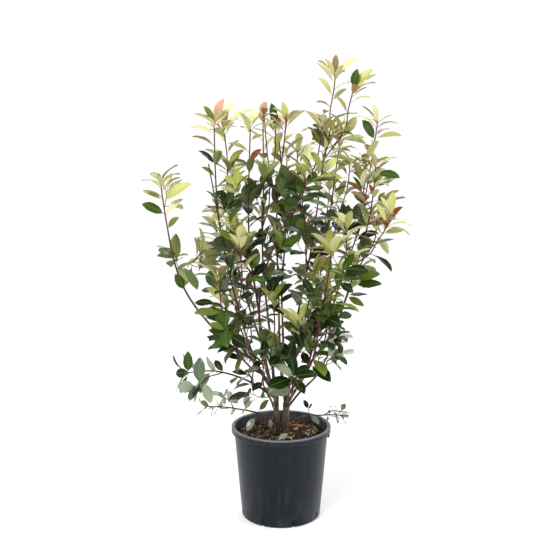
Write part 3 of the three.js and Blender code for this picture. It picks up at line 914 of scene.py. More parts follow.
    def _tint(self, stem: Stem, height: float, youth: float, key: int) -> Tint:
        """Deals out a leaf's tint by its height, its age and its spray.

        Args:
            stem: The stem that it grows on.
            height: Its height.
            youth: How young it is.
            key: Names its chances.

        Returns:
            The tint.
        """
        rule, cane = self.rule, stem.limb.cane
        own, spray = drawn(Draw.TINT, key), drawn(Draw.SPRAY, stem.key)
        mood = (1 - rule.spray) * own + rule.spray * spray
        # Lower canes' tips get older, darker tints: partly real age, partly painted shade lower in
        # the crown.
        if youth > 0:
            youth *= min(1.0, cane.tip[2] / rule.tall) ** rule.fade
        warm = drawn(Draw.TINT, key, 1) < cane.blush * between(rule.blush, youth)
        ages = (age for age in (BLUSHES + AGES if warm else AGES)
                if age.holds(youth, height, cane.small < rule.sprig))
        return next(tint for tint, most in next(ages).shares if mood < most)

    def _try_twig(self, stem: Stem, share: float, turn: float, key: int) -> bool:
        """Adds a twig with its own leaves, if it has room.

        Args:
            stem: The stem that it grows on.
            share: The share of the stem where it grows.
            turn: How far round the stem that is, in radians.
            key: Names its chances.

        Returns:
            Whether it has room.
        """
        rule, node = self.rule, stem.line.at(share)
        angle = math.radians(between(rule.twig_angle, drawn(Draw.TWIG_ANGLE, key)))
        length = stem.limb.cane.small * between(rule.twig_length, drawn(Draw.TWIG_LENGTH, key))
        out = turned(node.side, node.direction, turn)
        bend = -rule.twig_rise * length * UP
        tip = node.point + length * (node.direction * math.cos(angle) + out * math.sin(angle))
        radii = (min(rule.twig_radius, node.radius * rule.twig_taper), rule.twig_tip)
        line = bent_line(node.point, tip - bend, bend, radii, key, rule.twig_samples, 0)
        if not self._fits(line.points[1:], stem.limb):
            return False
        behind = max(0.0, stem.from_tip(share) - length)
        twig = Stem(line, key * rule.twig_key, stem.limb, behind)
        self._add_stem(twig)
        self.twigs.append(twig)
        self._leaf_up(twig, branches=False)
        return True

    def _leaf_up(self, stem: Stem, branches: bool) -> None:
        """Grows leaves and twigs up a stem, and then close together round its tip.

        Args:
            stem: The stem, which is a cane's.
            branches: Whether it has twigs.
        """
        rule, cane = self.rule, stem.limb.cane
        first = FULL_TURN * drawn(Draw.FIRST_TURN, stem.key)
        tuft = round(rule.tuft / cane.airy)
        tuft_share = tuft * rule.tuft_spacing / stem.line.length
        step = rule.internode * cane.small * cane.airy
        count = max(1, round(stem.line.length * (1 - tuft_share) / step))
        for i in range(count + tuft):
            share = (1 - tuft_share) * (i + 0.5) / count
            spread = between(rule.spread, share)
            if i >= count:
                share = 1 - tuft_share * (1 - (i - count + 0.5) / tuft)
                spread = rule.tuft_angle
            if stem.rests(share):
                continue
            turn = first + math.radians(rule.turn) * i
            key = stem.key * rule.node_key + i
            due = share < rule.twig_limit and drawn(Draw.TWIG, key) < rule.twig_share
            if branches and due and self._try_twig(stem, share, turn, key):
                continue
            spread *= between(rule.spread_play, drawn(Draw.LEAF_ANGLE, key))
            self._try_leaf(stem, share, turn, math.radians(spread), key)


# ---- Node trees ----


class Graph:
    """A node tree, of a material or of Geometry Nodes, that is built node by node."""

    def __init__(self, tree: NodeTree) -> None:
        """Keeps the tree that nodes are added to."""
        self.tree = tree

    def feed(self, socket: NodeSocket, value: Any) -> None:
        """Links a node or an expression to a socket, or sets the socket's own value.

        Args:
            socket: The socket.
            value: A node, which stands for its first output, an output, a Value or a number.
        """
        if isinstance(value, Value):
            value = value.socket
        if isinstance(value, Node):
            value = value.outputs[0]
        if isinstance(value, NodeSocket):
            self.tree.links.new(value, socket)
        else:
            socket.default_value = (*value, 1.0) if socket.type == "RGBA" else value

    def node(self, kind: str, inputs: dict[int | str, Any] | None = None, **settings: Any) -> Node:
        """Adds a node.

        Args:
            kind: The node's type.
            inputs: Values or links of its sockets, by name or place.
            **settings: What is set on it before its sockets are.

        Returns:
            The node.
        """
        made = self.tree.nodes.new(kind)
        for name, value in settings.items():
            setattr(made, name, value)
        for key, value in (inputs or {}).items():
            self.feed(made.inputs[key], value)
        return made

    def value(self, kind: str, inputs: dict[int | str, Any], output: int | str = 0,
              **settings: Any) -> Value:
        """Adds a node whose output is used in an expression."""
        return Value(self, self.node(kind, inputs, **settings).outputs[output])

    def axis(self, vector: Any, letter: str) -> Value:
        """One part of a vector: X, Y or Z."""
        return self.value("ShaderNodeSeparateXYZ", {0: vector}, letter)


class Value:
    """A socket that holds a number and can stand in an arithmetic expression."""

    def __init__(self, graph: Graph, socket: NodeSocket) -> None:
        """Keeps the socket and the graph that it is in."""
        self.graph, self.socket = graph, socket

    def _maths(self, operation: str, other: Any = 0.0, swap: bool = False,
               clamp: bool = False) -> Value:
        """A Math node on this value, and on another one that may come first."""
        ends = (other, self) if swap else (self, other)
        return self.graph.value(
            "ShaderNodeMath", dict(enumerate(ends)), operation=operation, use_clamp=clamp)

    __add__ = partialmethod(_maths, "ADD")
    __radd__ = partialmethod(_maths, "ADD", swap=True)
    __sub__ = partialmethod(_maths, "SUBTRACT")
    __rsub__ = partialmethod(_maths, "SUBTRACT", swap=True)
    __mul__ = partialmethod(_maths, "MULTIPLY")
    __rmul__ = partialmethod(_maths, "MULTIPLY", swap=True)
    __truediv__ = partialmethod(_maths, "DIVIDE")
    __rtruediv__ = partialmethod(_maths, "DIVIDE", swap=True)
    __pow__ = partialmethod(_maths, "POWER")
    size = partialmethod(_maths, "ABSOLUTE")
    fraction = partialmethod(_maths, "FRACT")
    clamped = partialmethod(_maths, "ADD", clamp=True)

    def rising(self, low: float, high: float) -> Value:
        """0 below low, 1 above high, and smooth between them."""
        return self.graph.value("ShaderNodeMapRange", {0: self, 1: low, 2: high, 3: 0.0, 4: 1.0},
                                interpolation_type="SMOOTHSTEP")

    def from_to(self, low: float, high: float) -> Value:
        """Low where it is 0, and high where it is 1."""
        return low + self * (high - low)


class Surface(Graph):
    """A material whose pattern is built as expressions on Object coordinates or a UV map."""

    def __init__(self, name: str, **constants: Any) -> None:
        """Makes the material.

        Args:
            name: The material's name.
            **constants: Values set on the shader's own sockets, with _ for a space.
        """
        self.material = bpy.data.materials.new(name)
        self.material.use_nodes = True
        super().__init__(self.material.node_tree)
        self.shader = next(n for n in self.tree.nodes if n.type == "BSDF_PRINCIPLED")
        self.dress(**constants)
        self.place = self.node("ShaderNodeTexCoord").outputs["Object"]

    def dress(self, **values: Any) -> None:
        """Feeds the shader's sockets, named with _ for a space."""
        for socket, value in values.items():
            self.feed(self.shader.inputs[socket.replace("_", " ")], value)

    def speckle(self, scale: float, detail: float, stretch: Point | None = None,
                roughness: float = 0.5) -> Value:
        """A noise over the surface, about 0.5 in the middle."""
        return self.value("ShaderNodeTexNoise", {
            "Vector": self._stretched(stretch), "Scale": scale, "Detail": detail,
            "Roughness": roughness})

    def cells(self, scale: float, stretch: Point | None = None) -> Value:
        """The distance to the nearest of scattered points."""
        inputs = {"Vector": self._stretched(stretch), "Scale": scale}
        return self.value("ShaderNodeTexVoronoi", inputs, "Distance")

    def _stretched(self, scale: Point | None) -> Node | NodeSocket:
        """Object coordinates, stretched along each axis if there is a scale for it."""
        mapped = {"Vector": self.place, "Scale": scale}
        return self.node("ShaderNodeMapping", mapped) if scale else self.place

    def mixed(self, share: Any, first: Any, second: Any) -> NodeSocket:
        """A colour with this share of the second of two others."""
        node = self.node("ShaderNodeMix", {0: share, 6: first, 7: second}, data_type="RGBA")
        return node.outputs[2]

    def relief(self, height: Any, depth: float, strength: float) -> Node:
        """A bump of this depth, in metres, for the normal."""
        return self.node(
            "ShaderNodeBump", {"Height": height, "Distance": depth, "Strength": strength})


class Workshop(Graph):
    """A Geometry Nodes tree with named inputs, applied to one object after another."""

    SOCKETS = {int: "Int", float: "Float", Material: "Material", Collection: "Collection"}

    def __init__(self, name: str, inputs: dict[str, type]) -> None:
        """Makes the tree.

        Args:
            name: The tree's name.
            inputs: The type of each named input.
        """
        super().__init__(bpy.data.node_groups.new(name, "GeometryNodeTree"))
        for way in ("INPUT", "OUTPUT"):
            self._socket("Geometry", "Geometry", way)
        self.identifiers = {
            label: self._socket(label, self.SOCKETS[kind]) for label, kind in inputs.items()}
        self.start = self.node("NodeGroupInput")

    def _socket(self, label: str, kind: str, way: str = "INPUT") -> str:
        """Adds a socket to the tree's own sockets and tells its identifier."""
        return self.tree.interface.new_socket(
            label, in_out=way, socket_type=f"NodeSocket{kind}").identifier

    def given(self, label: str) -> Value:
        """A named input."""
        return Value(self, self.start.outputs[label])

    def attribute(self, name: str, kind: str = "FLOAT") -> Value:
        """A named attribute of the geometry."""
        return self.value("GeometryNodeInputNamedAttribute", {"Name": name}, data_type=kind)

    def patterns(self, label: str) -> Node:
        """The objects of the collection that a named input holds."""
        return self.node("GeometryNodeCollectionInfo", {
            "Collection": self.given(label), "Separate Children": True, "Reset Children": True})

    def finish(self, geometry: Any, finishes: dict[str, Any]) -> Workshop:
        """Ends the tree: makes the geometry real and sets its materials.

        Args:
            geometry: The geometry.
            finishes: The named input of each material, and which faces get it.

        Returns:
            The tree itself.
        """
        geometry = self.node("GeometryNodeRealizeInstances", {0: geometry})
        for label, faces in finishes.items():
            geometry = self.node("GeometryNodeSetMaterial", {
                "Geometry": geometry, "Selection": faces, "Material": self.given(label)})
        self.feed(self.node("NodeGroupOutput").inputs[0], geometry)
        return self

    def apply(self, holder: Object, name: str, values: dict[str, Any]) -> Object:
        """Runs the tree on an object and keeps the result as a plain mesh.

        Args:
            holder: The object whose geometry goes in. It is removed.
            name: The result's name.
            values: Values of the named inputs.

        Returns:
            The new object.
        """
        modifier = holder.modifiers.new(self.tree.name, "NODES")
        modifier.node_group = self.tree
        for label, value in values.items():
            modifier[self.identifiers[label]] = value
        view = bpy.context.evaluated_depsgraph_get()
        mesh = bpy.data.meshes.new_from_object(holder.evaluated_get(view), depsgraph=view)
        bpy.data.objects.remove(holder)
        mesh.name = name
        return link_object(mesh)


# ---- Meshes ----


def link_object(mesh: Mesh) -> Object:
    """Puts a mesh into the scene, as an object of its name.

    Args:
        mesh: The mesh.

    Returns:
        The object.
    """
    made = bpy.data.objects.new(mesh.name, mesh)
    bpy.context.scene.collection.objects.link(made)
    return made


def mesh_of(name: str, points: Any, faces: Sequence[Face] = (), edges: Sequence[Face] = (),
            scale: float = MM) -> Mesh:
    """Makes a mesh that is shaded smooth.

    Args:
        name: The mesh's name.
        points: Its corners.
        faces: The corners of each face.
        edges: Its loose edges, if it has no faces.
        scale: A unit of the corners, in metres.

    Returns:
        The mesh.
    """
    mesh = bpy.data.meshes.new(name)
    mesh.from_pydata((np.asarray(points, float) * scale).tolist(), edges, faces)
    if faces:
        mesh.shade_smooth()
    return mesh


def add_numbers(mesh: Mesh, name: str, kind: str, values: Any, domain: str = "POINT") -> None:
    """Adds a named attribute to a mesh, for its points or another domain."""
    made = mesh.attributes.new(name, kind, domain)
    made.data.foreach_set("vector" if kind == "FLOAT_VECTOR" else "value", np.ravel(values))


def ring_faces(rings: int, sides: int, first: int = 0) -> list[Face]:
    """Works out the faces between rings of corners, one ring after another.

    Args:
        rings: How many rings there are.
        sides: Corners of each ring.
        first: The number of the first corner.

    Returns:
        The faces.
    """
    starts = range(first, first + (rings - 1) * sides, sides)
    pairs = [(a + k, a + (k + 1) % sides) for a in starts for k in range(sides)]
    return [(a, b, b + sides, a + sides) for a, b in pairs]


def tube_faces(rings: int, sides: int) -> list[Face]:
    """The faces between rings of corners, and then those of the two ends."""
    corners = range(rings * sides)
    return [*ring_faces(rings, sides), tuple(corners[sides - 1::-1]), tuple(corners[-sides:])]


@contextmanager
def patterns_of(name: str, meshes: Sequence[Mesh]) -> Iterator[Collection]:
    """Keeps meshes in a collection for as long as pieces are made of them.

    Args:
        name: The collection's name.
        meshes: The meshes.

    Yields:
        The collection.
    """
    group = bpy.data.collections.new(name)
    bpy.context.scene.collection.children.link(group)
    for mesh in meshes:
        group.objects.link(bpy.data.objects.new(mesh.name, mesh))
    yield group
    for pattern in list(group.objects):
        bpy.data.objects.remove(pattern)
    bpy.data.collections.remove(group)


def place_piece(piece: Object, slot: str, *nodes: str) -> None:
    """Hands a finished piece to the frame.

    Args:
        piece: The piece.
        slot: The name of a material slot of the record; it is not used.
        *nodes: The solids that it stands for.
    """
    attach(piece, BODY)
    if nodes:
        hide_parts(*nodes)
    piece.data.calc_loop_triangles()
    LOG.info("%s: %d triangles", piece.name, len(piece.data.loop_triangles))


# ---- Leaves ----


class LeafSide(Enum):
    """The parts of a leaf's surface that have a finish of their own."""

    UPPER = 0
    UNDER = 1
    RIB = 2


LEAF_MAP = "leaf"
STALK_RING = tuple(math.radians(a) for a in (180, 144, 108, 72, 36, 0, -60, -120))
RING_MAP = (0.0, 0.22, 0.47, 0.53, 0.78, 1.0, 0.53, 0.47)


@dataclass(frozen=True)
class LeafShape:
    """A leaf of length 1, with its stalk. Angles in degrees, the rest over its length.

    Attributes:
        arch: How far its heading turns down from stalk to tip.
        fold: How steeply its halves rise from the midrib, and fold_rate how soon.
        twist: How far its tip is turned about its length.
        wave: How far its margin rises and falls, and ripples how fast.
        droop: How far its margin hangs below its halves, over its width.
        rib: Half the midrib's width next to the stalk, and rib_most over half the blade.
        shoulder: Where each half has its middle corner, over half the width.
        sharp: The least angle between faces whose edge is shaded as a sharp one.
        widths: The blade's width over its full width at places along it.
    """

    width: float
    arch: float
    fold: float
    twist: float = 0.0
    wave: float = 0.0
    droop: float = 0.1
    thickness: float = 0.009
    rib: float = 0.014
    rib_taper: float = 0.85
    rib_most: float = 0.4
    stalk: float = 0.012
    stalk_end: float = 0.13
    shoulder: float = 0.55
    fold_rate: float = 3.0
    keel_taper: float = 0.7
    ripples: float = 15.0
    steps: int = 16
    sharp: float = 75.0
    widths: tuple[Pair, ...] = (
        (0.21, 0.42), (0.36, 0.85), (0.56, 1.0), (0.75, 0.85), (0.9, 0.46), (1.0, 0.03))

    def mesh(self, name: str) -> Mesh:
        """Builds the leaf as one thin closed mesh.

        Args:
            name: The mesh's name.

        Returns:
            The mesh, rooted at the origin, lying along +Y with its face up.
        """
        stalk = [(self.stalk * math.cos(a), self.stalk * math.sin(a)) for a in STALK_RING]
        rows = [(0.0, stalk), (self.stalk_end, stalk)]
        rows += [(place, self._blade_ring(place, share)) for place, share in self.widths]
        sides = len(STALK_RING)
        corners = [corner for row in rows for corner in self._row(*row)]
        mesh = mesh_of(name, corners, tube_faces(len(rows), sides), scale=1)
        upper, under, rib = (side.value for side in LeafSide)
        across = [upper, upper, rib, upper, upper, under, rib, under]
        parts = [rib] * sides + across * (len(rows) - 2) + [under] * 2
        mesh.set_sharp_from_angle(angle=math.radians(self.sharp))
        add_numbers(mesh, "part", "INT", parts, "FACE")
        layer = mesh.uv_layers.new(name=LEAF_MAP)
        for loop in mesh.loops:
            row, side = divmod(loop.vertex_index, sides)
            layer.data[loop.index].uv = (RING_MAP[side], rows[row][0])
        return mesh

    def _along_blade(self, place: float) -> float:
        """The share of the blade that lies before a place, and 0 on the stalk."""
        return max(0.0, (place - self.stalk_end) / (1 - self.stalk_end))

    def _blade_ring(self, place: float, share: float) -> list[Pair]:
        """Sets out the corners round the blade at one place, above and then below.

        Args:
            place: The place along the leaf.
            share: Its width there over its full width.

        Returns:
            Pairs of side and height.
        """
        blade = self._along_blade(place)
        half = share * self.width / 2
        rib = min(self.rib * (1 - self.rib_taper * blade), self.rib_most * half)
        steep = math.tan(math.radians(self.fold)) * min(1.0, self.fold_rate * blade)
        ripple = self.wave * math.sin(self.ripples * place)
        middle = self.shoulder * half
        above = [(x, abs(x) * steep - self.droop * self.width * (2 * abs(x) / self.width) ** 3)
                 for x in (-half, -middle, -rib, rib, middle, half)]
        above[0] = (above[0][0], above[0][1] + ripple)
        above[-1] = (above[-1][0], above[-1][1] - ripple)
        depth = self.thickness + self.stalk * (1 - self.keel_taper * blade)
        return above + [(x, z - depth) for x, z in (above[3], above[2])]

    def _row(self, place: float, ring: Sequence[Pair]) -> list[Point]:
        """Carries a ring's corners to where the arching, twisting leaf has them.

        Args:
            place: The place along the leaf.
            ring: Pairs of side and height.

        Returns:
            The corners.
        """
        spine = np.zeros(2)
        arch = math.radians(self.arch)
        for i in range(self.steps):
            way = arch * (i + 0.5) / self.steps * place
            spine = spine + np.array([math.cos(way), -math.sin(way)]) * place / self.steps
        heading = arch * place
        turn = math.radians(self.twist) * self._along_blade(place)
        corners = []
        for x, z in ring:
            side = x * math.cos(turn) - z * math.sin(turn)
            rise = x * math.sin(turn) + z * math.cos(turn)
            corners.append((side, spine[0] + rise * math.sin(heading),
                            spine[1] + rise * math.cos(heading)))
        return corners


SLENDER_SHAPES = (
    LeafShape(0.33, 26, 30, 6, 0.004),
    LeafShape(0.35, 48, 20, -10, 0.006),
    LeafShape(0.31, 70, 18, 8, 0.004),
    LeafShape(0.36, 36, 26, -18, 0.007),
    LeafShape(0.32, 14, 38, 4, 0.003),
)
BROAD_SHAPES = (
    LeafShape(0.46, 34, 12, 10, 0.008),
    LeafShape(0.42, 56, 16, -12, 0.006),
    LeafShape(0.48, 22, 9, 14, 0.009),
    LeafShape(0.4, 44, 20, -20, 0.007),
)
LEAF_SHAPES = SLENDER_SHAPES + BROAD_SHAPES


def shape_number(broad: bool, key: int) -> int:
    """The number of the broad or slender shape that a key's chance picks."""
    first, shapes = (len(SLENDER_SHAPES), BROAD_SHAPES) if broad else (0, SLENDER_SHAPES)
    return first + int(drawn(Draw.LEAF_SHAPE, key) * len(shapes))


@dataclass(frozen=True)
class LeafFinish:
    """The finish of the leaves of one tint: leathery, with uneven gloss and fine relief."""

    upper: Colour
    under: Colour
    rib: Colour
    roughness: float = 0.34
    shine: float = 0.3

    MOTTLE = (46.0, 3.0)
    MOTTLE_HEIGHT = 0.6
    RELIEF = (0.0004, 0.4)
    PLAY = 0.1
    UNDER_DULLER = 0.2
    VEIN_DULLER = 0.12
    VEIN_SLANT = 5.0
    VEIN_SHARPNESS = 7.0
    SIDE_VEINS = 13.0

    def materials(self, name: str) -> dict[str, Material]:
        """The materials of a leaf's sides, by the names of the tree's inputs."""
        return {
            side.name: self._material(f"{name}_{side.name.lower()}", colour, side is LeafSide.UPPER)
            for side, colour in zip(LeafSide, (self.upper, self.under, self.rib))}

    def _material(self, name: str, colour: Colour, veined: bool) -> Material:
        """Makes the material of one side.

        Args:
            name: Its name.
            colour: Its plain colour.
            veined: Whether it shows side veins and shines as the upper side does.

        Returns:
            The material.
        """
        surface = Surface(name, Base_Color=colour, Specular_IOR_Level=self.shine)
        mottle = surface.speckle(*self.MOTTLE)
        height, dull = mottle * self.MOTTLE_HEIGHT, self.roughness
        if veined:
            uv = surface.node("ShaderNodeUVMap", uv_map=LEAF_MAP)
            aside = (surface.axis(uv, "X") - 0.5).size()
            saw = (surface.axis(uv, "Y") * self.SIDE_VEINS - aside * self.VEIN_SLANT).fraction()
            ridge = ((saw - 0.5).size() * 2.0) ** self.VEIN_SHARPNESS
            vein = ridge * (1.0 - (aside * 2.0) ** 3.0)
            height = height - vein
            dull = dull + vein * self.VEIN_DULLER
        else:
            dull += self.UNDER_DULLER
        surface.dress(Normal=surface.relief(height, *self.RELIEF),
                      Roughness=(mottle * (2 * self.PLAY) + (dull - self.PLAY)).clamped())
        return surface.material


OLD_UNDER, YOUNG_UNDER, WARM_UNDER = (0.105, 0.15, 0.05), (0.36, 0.38, 0.13), (0.42, 0.27, 0.14)
OLD_RIB, YOUNG_RIB, WARM_RIB = (0.14, 0.19, 0.05), (0.5, 0.48, 0.2), (0.42, 0.19, 0.12)

LEAF_FINISHES = {
    Tint.DEEP: LeafFinish((0.01, 0.024, 0.004), OLD_UNDER, OLD_RIB, 0.3, 0.16),
    Tint.SAGE: LeafFinish((0.07, 0.11, 0.05), (0.2, 0.26, 0.15), OLD_RIB, 0.28, 0.8),
    # Pale grey-green upper side: a painted sheen, on top of its own shine.
    Tint.DUSTY: LeafFinish((0.27, 0.33, 0.21), (0.4, 0.46, 0.33), (0.34, 0.4, 0.24), 0.28, 0.9),
    Tint.GREEN: LeafFinish((0.04, 0.082, 0.009), OLD_UNDER, OLD_RIB, 0.32, 0.18),
    Tint.MOSS: LeafFinish((0.12, 0.165, 0.018), (0.21, 0.25, 0.07), OLD_RIB, 0.34),
    Tint.FRESH: LeafFinish((0.31, 0.34, 0.065), YOUNG_UNDER, YOUNG_RIB, 0.36),
    # Lime and pale tints: partly the young leaves' own colour, partly a painted glow of light
    # through the backlit leaves.
    Tint.LIME: LeafFinish((0.5, 0.51, 0.17), (0.54, 0.54, 0.24), YOUNG_RIB, 0.4),
    Tint.PALE: LeafFinish((0.68, 0.66, 0.36), (0.7, 0.67, 0.4), (0.66, 0.56, 0.32), 0.44),
    Tint.BRONZE: LeafFinish((0.23, 0.15, 0.05), (0.36, 0.25, 0.12), WARM_RIB, 0.36),
    Tint.ROSE: LeafFinish((0.56, 0.31, 0.21), (0.6, 0.42, 0.28), WARM_RIB, 0.4),
    Tint.RUST: LeafFinish((0.22, 0.05, 0.014), (0.36, 0.15, 0.06), WARM_RIB, 0.34),
    Tint.PLUM: LeafFinish((0.02, 0.009, 0.008), (0.08, 0.045, 0.04), WARM_RIB, 0.34),
}


@dataclass
class Foliage:
    """The leaves of the whole shrub, one piece for each tint."""

    crown: Crown

    def build(self) -> list[Object]:
        """Builds a piece for each tint.

        Returns:
            The pieces.
        """
        tree, pieces = self._tree(), []
        shapes = [shape.mesh(f"leaf_shape_{i:02d}") for i, shape in enumerate(LEAF_SHAPES)]
        with patterns_of("leaf_shapes", shapes) as group:
            for tint, finish in LEAF_FINISHES.items():
                name = f"leaves_{tint.value}"
                leaves = [leaf for leaf in self.crown.leaves if leaf.tint is tint]
                values = {"Shapes": group, **finish.materials(name)}
                pieces.append(tree.apply(self._points(name, leaves), name, values))
        return pieces

    @staticmethod
    def _points(name: str, leaves: Sequence[Leaf]) -> Object:
        """Makes a point for each leaf, with what its instance needs.

        Args:
            name: The name of their piece.
            leaves: The leaves.

        Returns:
            The object that holds the points.
        """
        mesh = mesh_of(name + "_points", [leaf.root for leaf in leaves])
        add_numbers(mesh, "along", "FLOAT_VECTOR", [leaf.along for leaf in leaves])
        add_numbers(mesh, "face", "FLOAT_VECTOR", [leaf.face for leaf in leaves])
        add_numbers(mesh, "length", "FLOAT", [leaf.length * MM for leaf in leaves])
        add_numbers(mesh, "shape", "INT", [leaf.shape for leaf in leaves])
        return link_object(mesh)

    @staticmethod
    def _tree() -> Workshop:
        """Plans how a leaf is put on each point and its sides get their finishes.

        Returns:
            The tree.
        """
        shop = Workshop("leaves on points", {
            "Shapes": Collection, **{side.name: Material for side in LeafSide}})
        turn = shop.node(
            "FunctionNodeAxesToRotation",
            {0: shop.attribute("along", "FLOAT_VECTOR"), 1: shop.attribute("face", "FLOAT_VECTOR")},
            primary_axis="Y", secondary_axis="Z")
        placed = shop.node("GeometryNodeInstanceOnPoints", {
            "Points": shop.given("Geometry"), "Instance": shop.patterns("Shapes"),
            "Pick Instance": True, "Instance Index": shop.attribute("shape", "INT"),
            "Rotation": turn, "Scale": shop.attribute("length")})
        part = shop.attribute("part", "INT")
        return shop.finish(placed, {
            side.name: shop.node("FunctionNodeCompare", {2: part, 3: side.value},
                                 data_type="INT", operation="EQUAL") for side in LeafSide})


# ---- Twigs, canes, boughs and trunks ----


@dataclass(frozen=True)
class StemFinish:
    """The finish of thin stems: a smooth young bark with paler flecks."""

    name: str
    colour: Colour
    pale: Colour
    roughness: float = 0.5
    shine: float = 0.22

    FLECKS = (230.0, 3.0, (1.0, 1.0, 0.25))
    FLECKED = (0.45, 0.75)
    RELIEF = (0.0004, 0.6)
    PLAY = 0.1

    def material(self) -> Material:
        """Makes the material.

        Returns:
            The material.
        """
        surface = Surface(self.name, Specular_IOR_Level=self.shine)
        flecks = surface.speckle(*self.FLECKS)
        flecked = flecks.rising(*self.FLECKED)
        surface.dress(Base_Color=surface.mixed(flecked, self.colour, self.pale),
                      Roughness=flecks * (2 * self.PLAY) + (self.roughness - self.PLAY),
                      Normal=surface.relief(flecks, *self.RELIEF))
        return surface.material


CANE_FINISH = StemFinish("cane_bark", (0.085, 0.017, 0.02), (0.23, 0.065, 0.06))
TWIG_FINISH = StemFinish("twig_bark", (0.13, 0.035, 0.03), (0.28, 0.14, 0.08))


@dataclass
class Stems:
    """The leafy canes and the twigs, as round stems along their lines."""

    crown: Crown
    cane_sides: int = 8
    twig_sides: int = 6

    def build(self) -> dict[str, Object]:
        """Builds one piece of canes and one of twigs.

        Returns:
            The pieces by name.
        """
        tree, twigs = self._tree(), self.crown.twigs
        canes = [stem for stem in self.crown.stems if stem not in twigs]
        return {
            name: tree.apply(self._lines(name, stems), name, {
                "Sides": sides, "Bark": finish.material()})
            for name, stems, sides, finish in (("canes", canes, self.cane_sides, CANE_FINISH),
                                               ("twigs", twigs, self.twig_sides, TWIG_FINISH))}

    @staticmethod
    def _lines(name: str, stems: Sequence[Stem]) -> Object:
        """Makes the stems' lines as loose edges, each point with its radius.

        Args:
            name: The name of their piece.
            stems: The stems.

        Returns:
            The object that holds the lines.
        """
        points, edges, radii = [], [], []
        for line in (stem.line for stem in stems):
            first = len(points)
            points += list(line.points)
            radii += [between(line.radii, reach / line.length) * MM for reach in line.reaches]
            edges += [(i, i + 1) for i in range(first, len(points) - 1)]
        mesh = mesh_of(name + "_lines", points, edges=edges)
        add_numbers(mesh, "thick", "FLOAT", radii)
        return link_object(mesh)

    @staticmethod
    def _tree() -> Workshop:
        """Plans how lines get their thickness and bark.

        Returns:
            The tree.
        """
        shop = Workshop("stems along lines", {"Sides": int, "Bark": Material})
        curve = shop.node("GeometryNodeMeshToCurve", {0: shop.given("Geometry")})
        ring = shop.node("GeometryNodeCurvePrimitiveCircle", {
            "Resolution": shop.given("Sides"), "Radius": 1.0})
        tube = shop.node("GeometryNodeCurveToMesh", {
            "Curve": curve, "Profile Curve": ring, "Scale": shop.attribute("thick"),
            "Fill Caps": True})
        return shop.finish(shop.node("GeometryNodeSetShadeSmooth", {0: tube}), {"Bark": True})


@dataclass(frozen=True)
class Bark:
    """Bark with relief: long fissures between ridges, and fine roughness.

    Attributes:
        sides: Corners round the limb.
        ring_length: From one ring of corners to the next.
        ridges: Ridges round the limb.
        depth: How deep the fissures are, over the limb's radius.
        ridge: How fast ridges change along the limb, how strong and how level they are.
        fine: How fast the roughness changes round and along it, and how strong it is.
    """

    sides: int
    ring_length: float
    ridges: float
    depth: float
    ridge: Point = (0.028, 0.65, 0.6)
    fine: Point = (2.6, 0.11, 0.5)

    def rings(self, line: LimbLine, swell: Callable[[float], float]) -> tuple[list, list[Face]]:
        """Works out the corners and faces of a limb.

        Args:
            line: The limb's line.
            swell: What its radius is scaled by at a share of its length.

        Returns:
            The corners, and the faces, with flat ends.
        """
        count = max(2, round(line.length / self.ring_length))
        corners = []
        side = line.sides[0]
        for i in range(count + 1):
            share = i / count
            place = line.at(share)
            side = squared(side, place.direction)
            other = np.cross(place.direction, side)
            radius = place.radius * swell(share)
            for angle in round_angles(self.sides):
                reach = radius * (1 + self._relief(angle, place))
                corners.append(place.point + side * (reach * math.cos(angle))
                               + other * (reach * math.sin(angle)))
        return corners, tube_faces(count + 1, self.sides)

    def _relief(self, angle: float, place: Place) -> float:
        """Works out how far the bark stands out, over the limb's radius.

        Args:
            angle: The angle round the limb, in radians.
            place: The place on the limb.

        Returns:
            The share of the radius.
        """
        height = float(place.point @ place.direction)
        x, y, _ = Vector((math.cos(angle), math.sin(angle), 0.0)) * self.ridges
        along, strong, level = self.ridge
        round_it, fine_along, fine_strong = self.fine
        ridge = 1 - 2 * abs(noise.noise(Vector((x, y, height * along))))
        rough = noise.noise(Vector((x * round_it, y * round_it, height * fine_along)))
        return self.depth * (strong * (ridge - level) + fine_strong * rough)


@dataclass(frozen=True)
class BarkFinish:
    """The finish of old bark: dark fissures, brown ridges and a pale lichen film.

    Attributes:
        grain: How fine it is.
        dark_foot: The heights between which it darkens down to the soil.
    """

    name: str
    dark: Colour
    brown: Colour
    pale: Colour
    grain: float
    dark_foot: Pair = (236.0, 300.0)

    FIBRES = (6.0, (1.0, 1.0, 0.12), 0.65)
    FIBRE_HEIGHT = 0.7
    FLAKE_SCALE = 0.7
    FLAKE_STRETCH = (1.0, 1.0, 0.3)
    FLAKE_HEIGHT = 0.5
    FILM = (34.0, 4.0, (1.6, 1.6, 0.35))
    BROWN_FIBRES = (0.44, 0.58)
    FILMED = (0.5, 0.64)
    FILMED_FLAKES = (0.2, 0.5)
    FILM_SHARE = 0.9
    DARK_FOOT_SHARE = 0.7
    ROUGHNESS = (0.95, 0.7)
    RELIEF = (0.0016, 0.9)

    def material(self) -> Material:
        """Makes the material.

        Returns:
            The material.
        """
        surface = Surface(self.name)
        fibres = surface.speckle(self.grain, *self.FIBRES)
        flakes = surface.cells(self.grain * self.FLAKE_SCALE, self.FLAKE_STRETCH)
        film = surface.speckle(*self.FILM).rising(*self.FILMED)
        film = film * flakes.rising(*self.FILMED_FLAKES) * self.FILM_SHARE
        body = surface.mixed(fibres.rising(*self.BROWN_FIBRES), self.dark, self.brown)
        filmed = surface.mixed(film.clamped(), body, self.pale)
        # The bark grows darker down to the soil.
        low, high = self.dark_foot
        above_dark_foot = surface.axis(surface.place, "Z").rising(low * MM, high * MM)
        relief = fibres * self.FIBRE_HEIGHT + flakes * self.FLAKE_HEIGHT
        surface.dress(
            Base_Color=surface.mixed((1.0 - above_dark_foot) * self.DARK_FOOT_SHARE, filmed, self.dark),
            Roughness=fibres.from_to(*self.ROUGHNESS),
            Normal=surface.relief(relief, *self.RELIEF))
        return surface.material


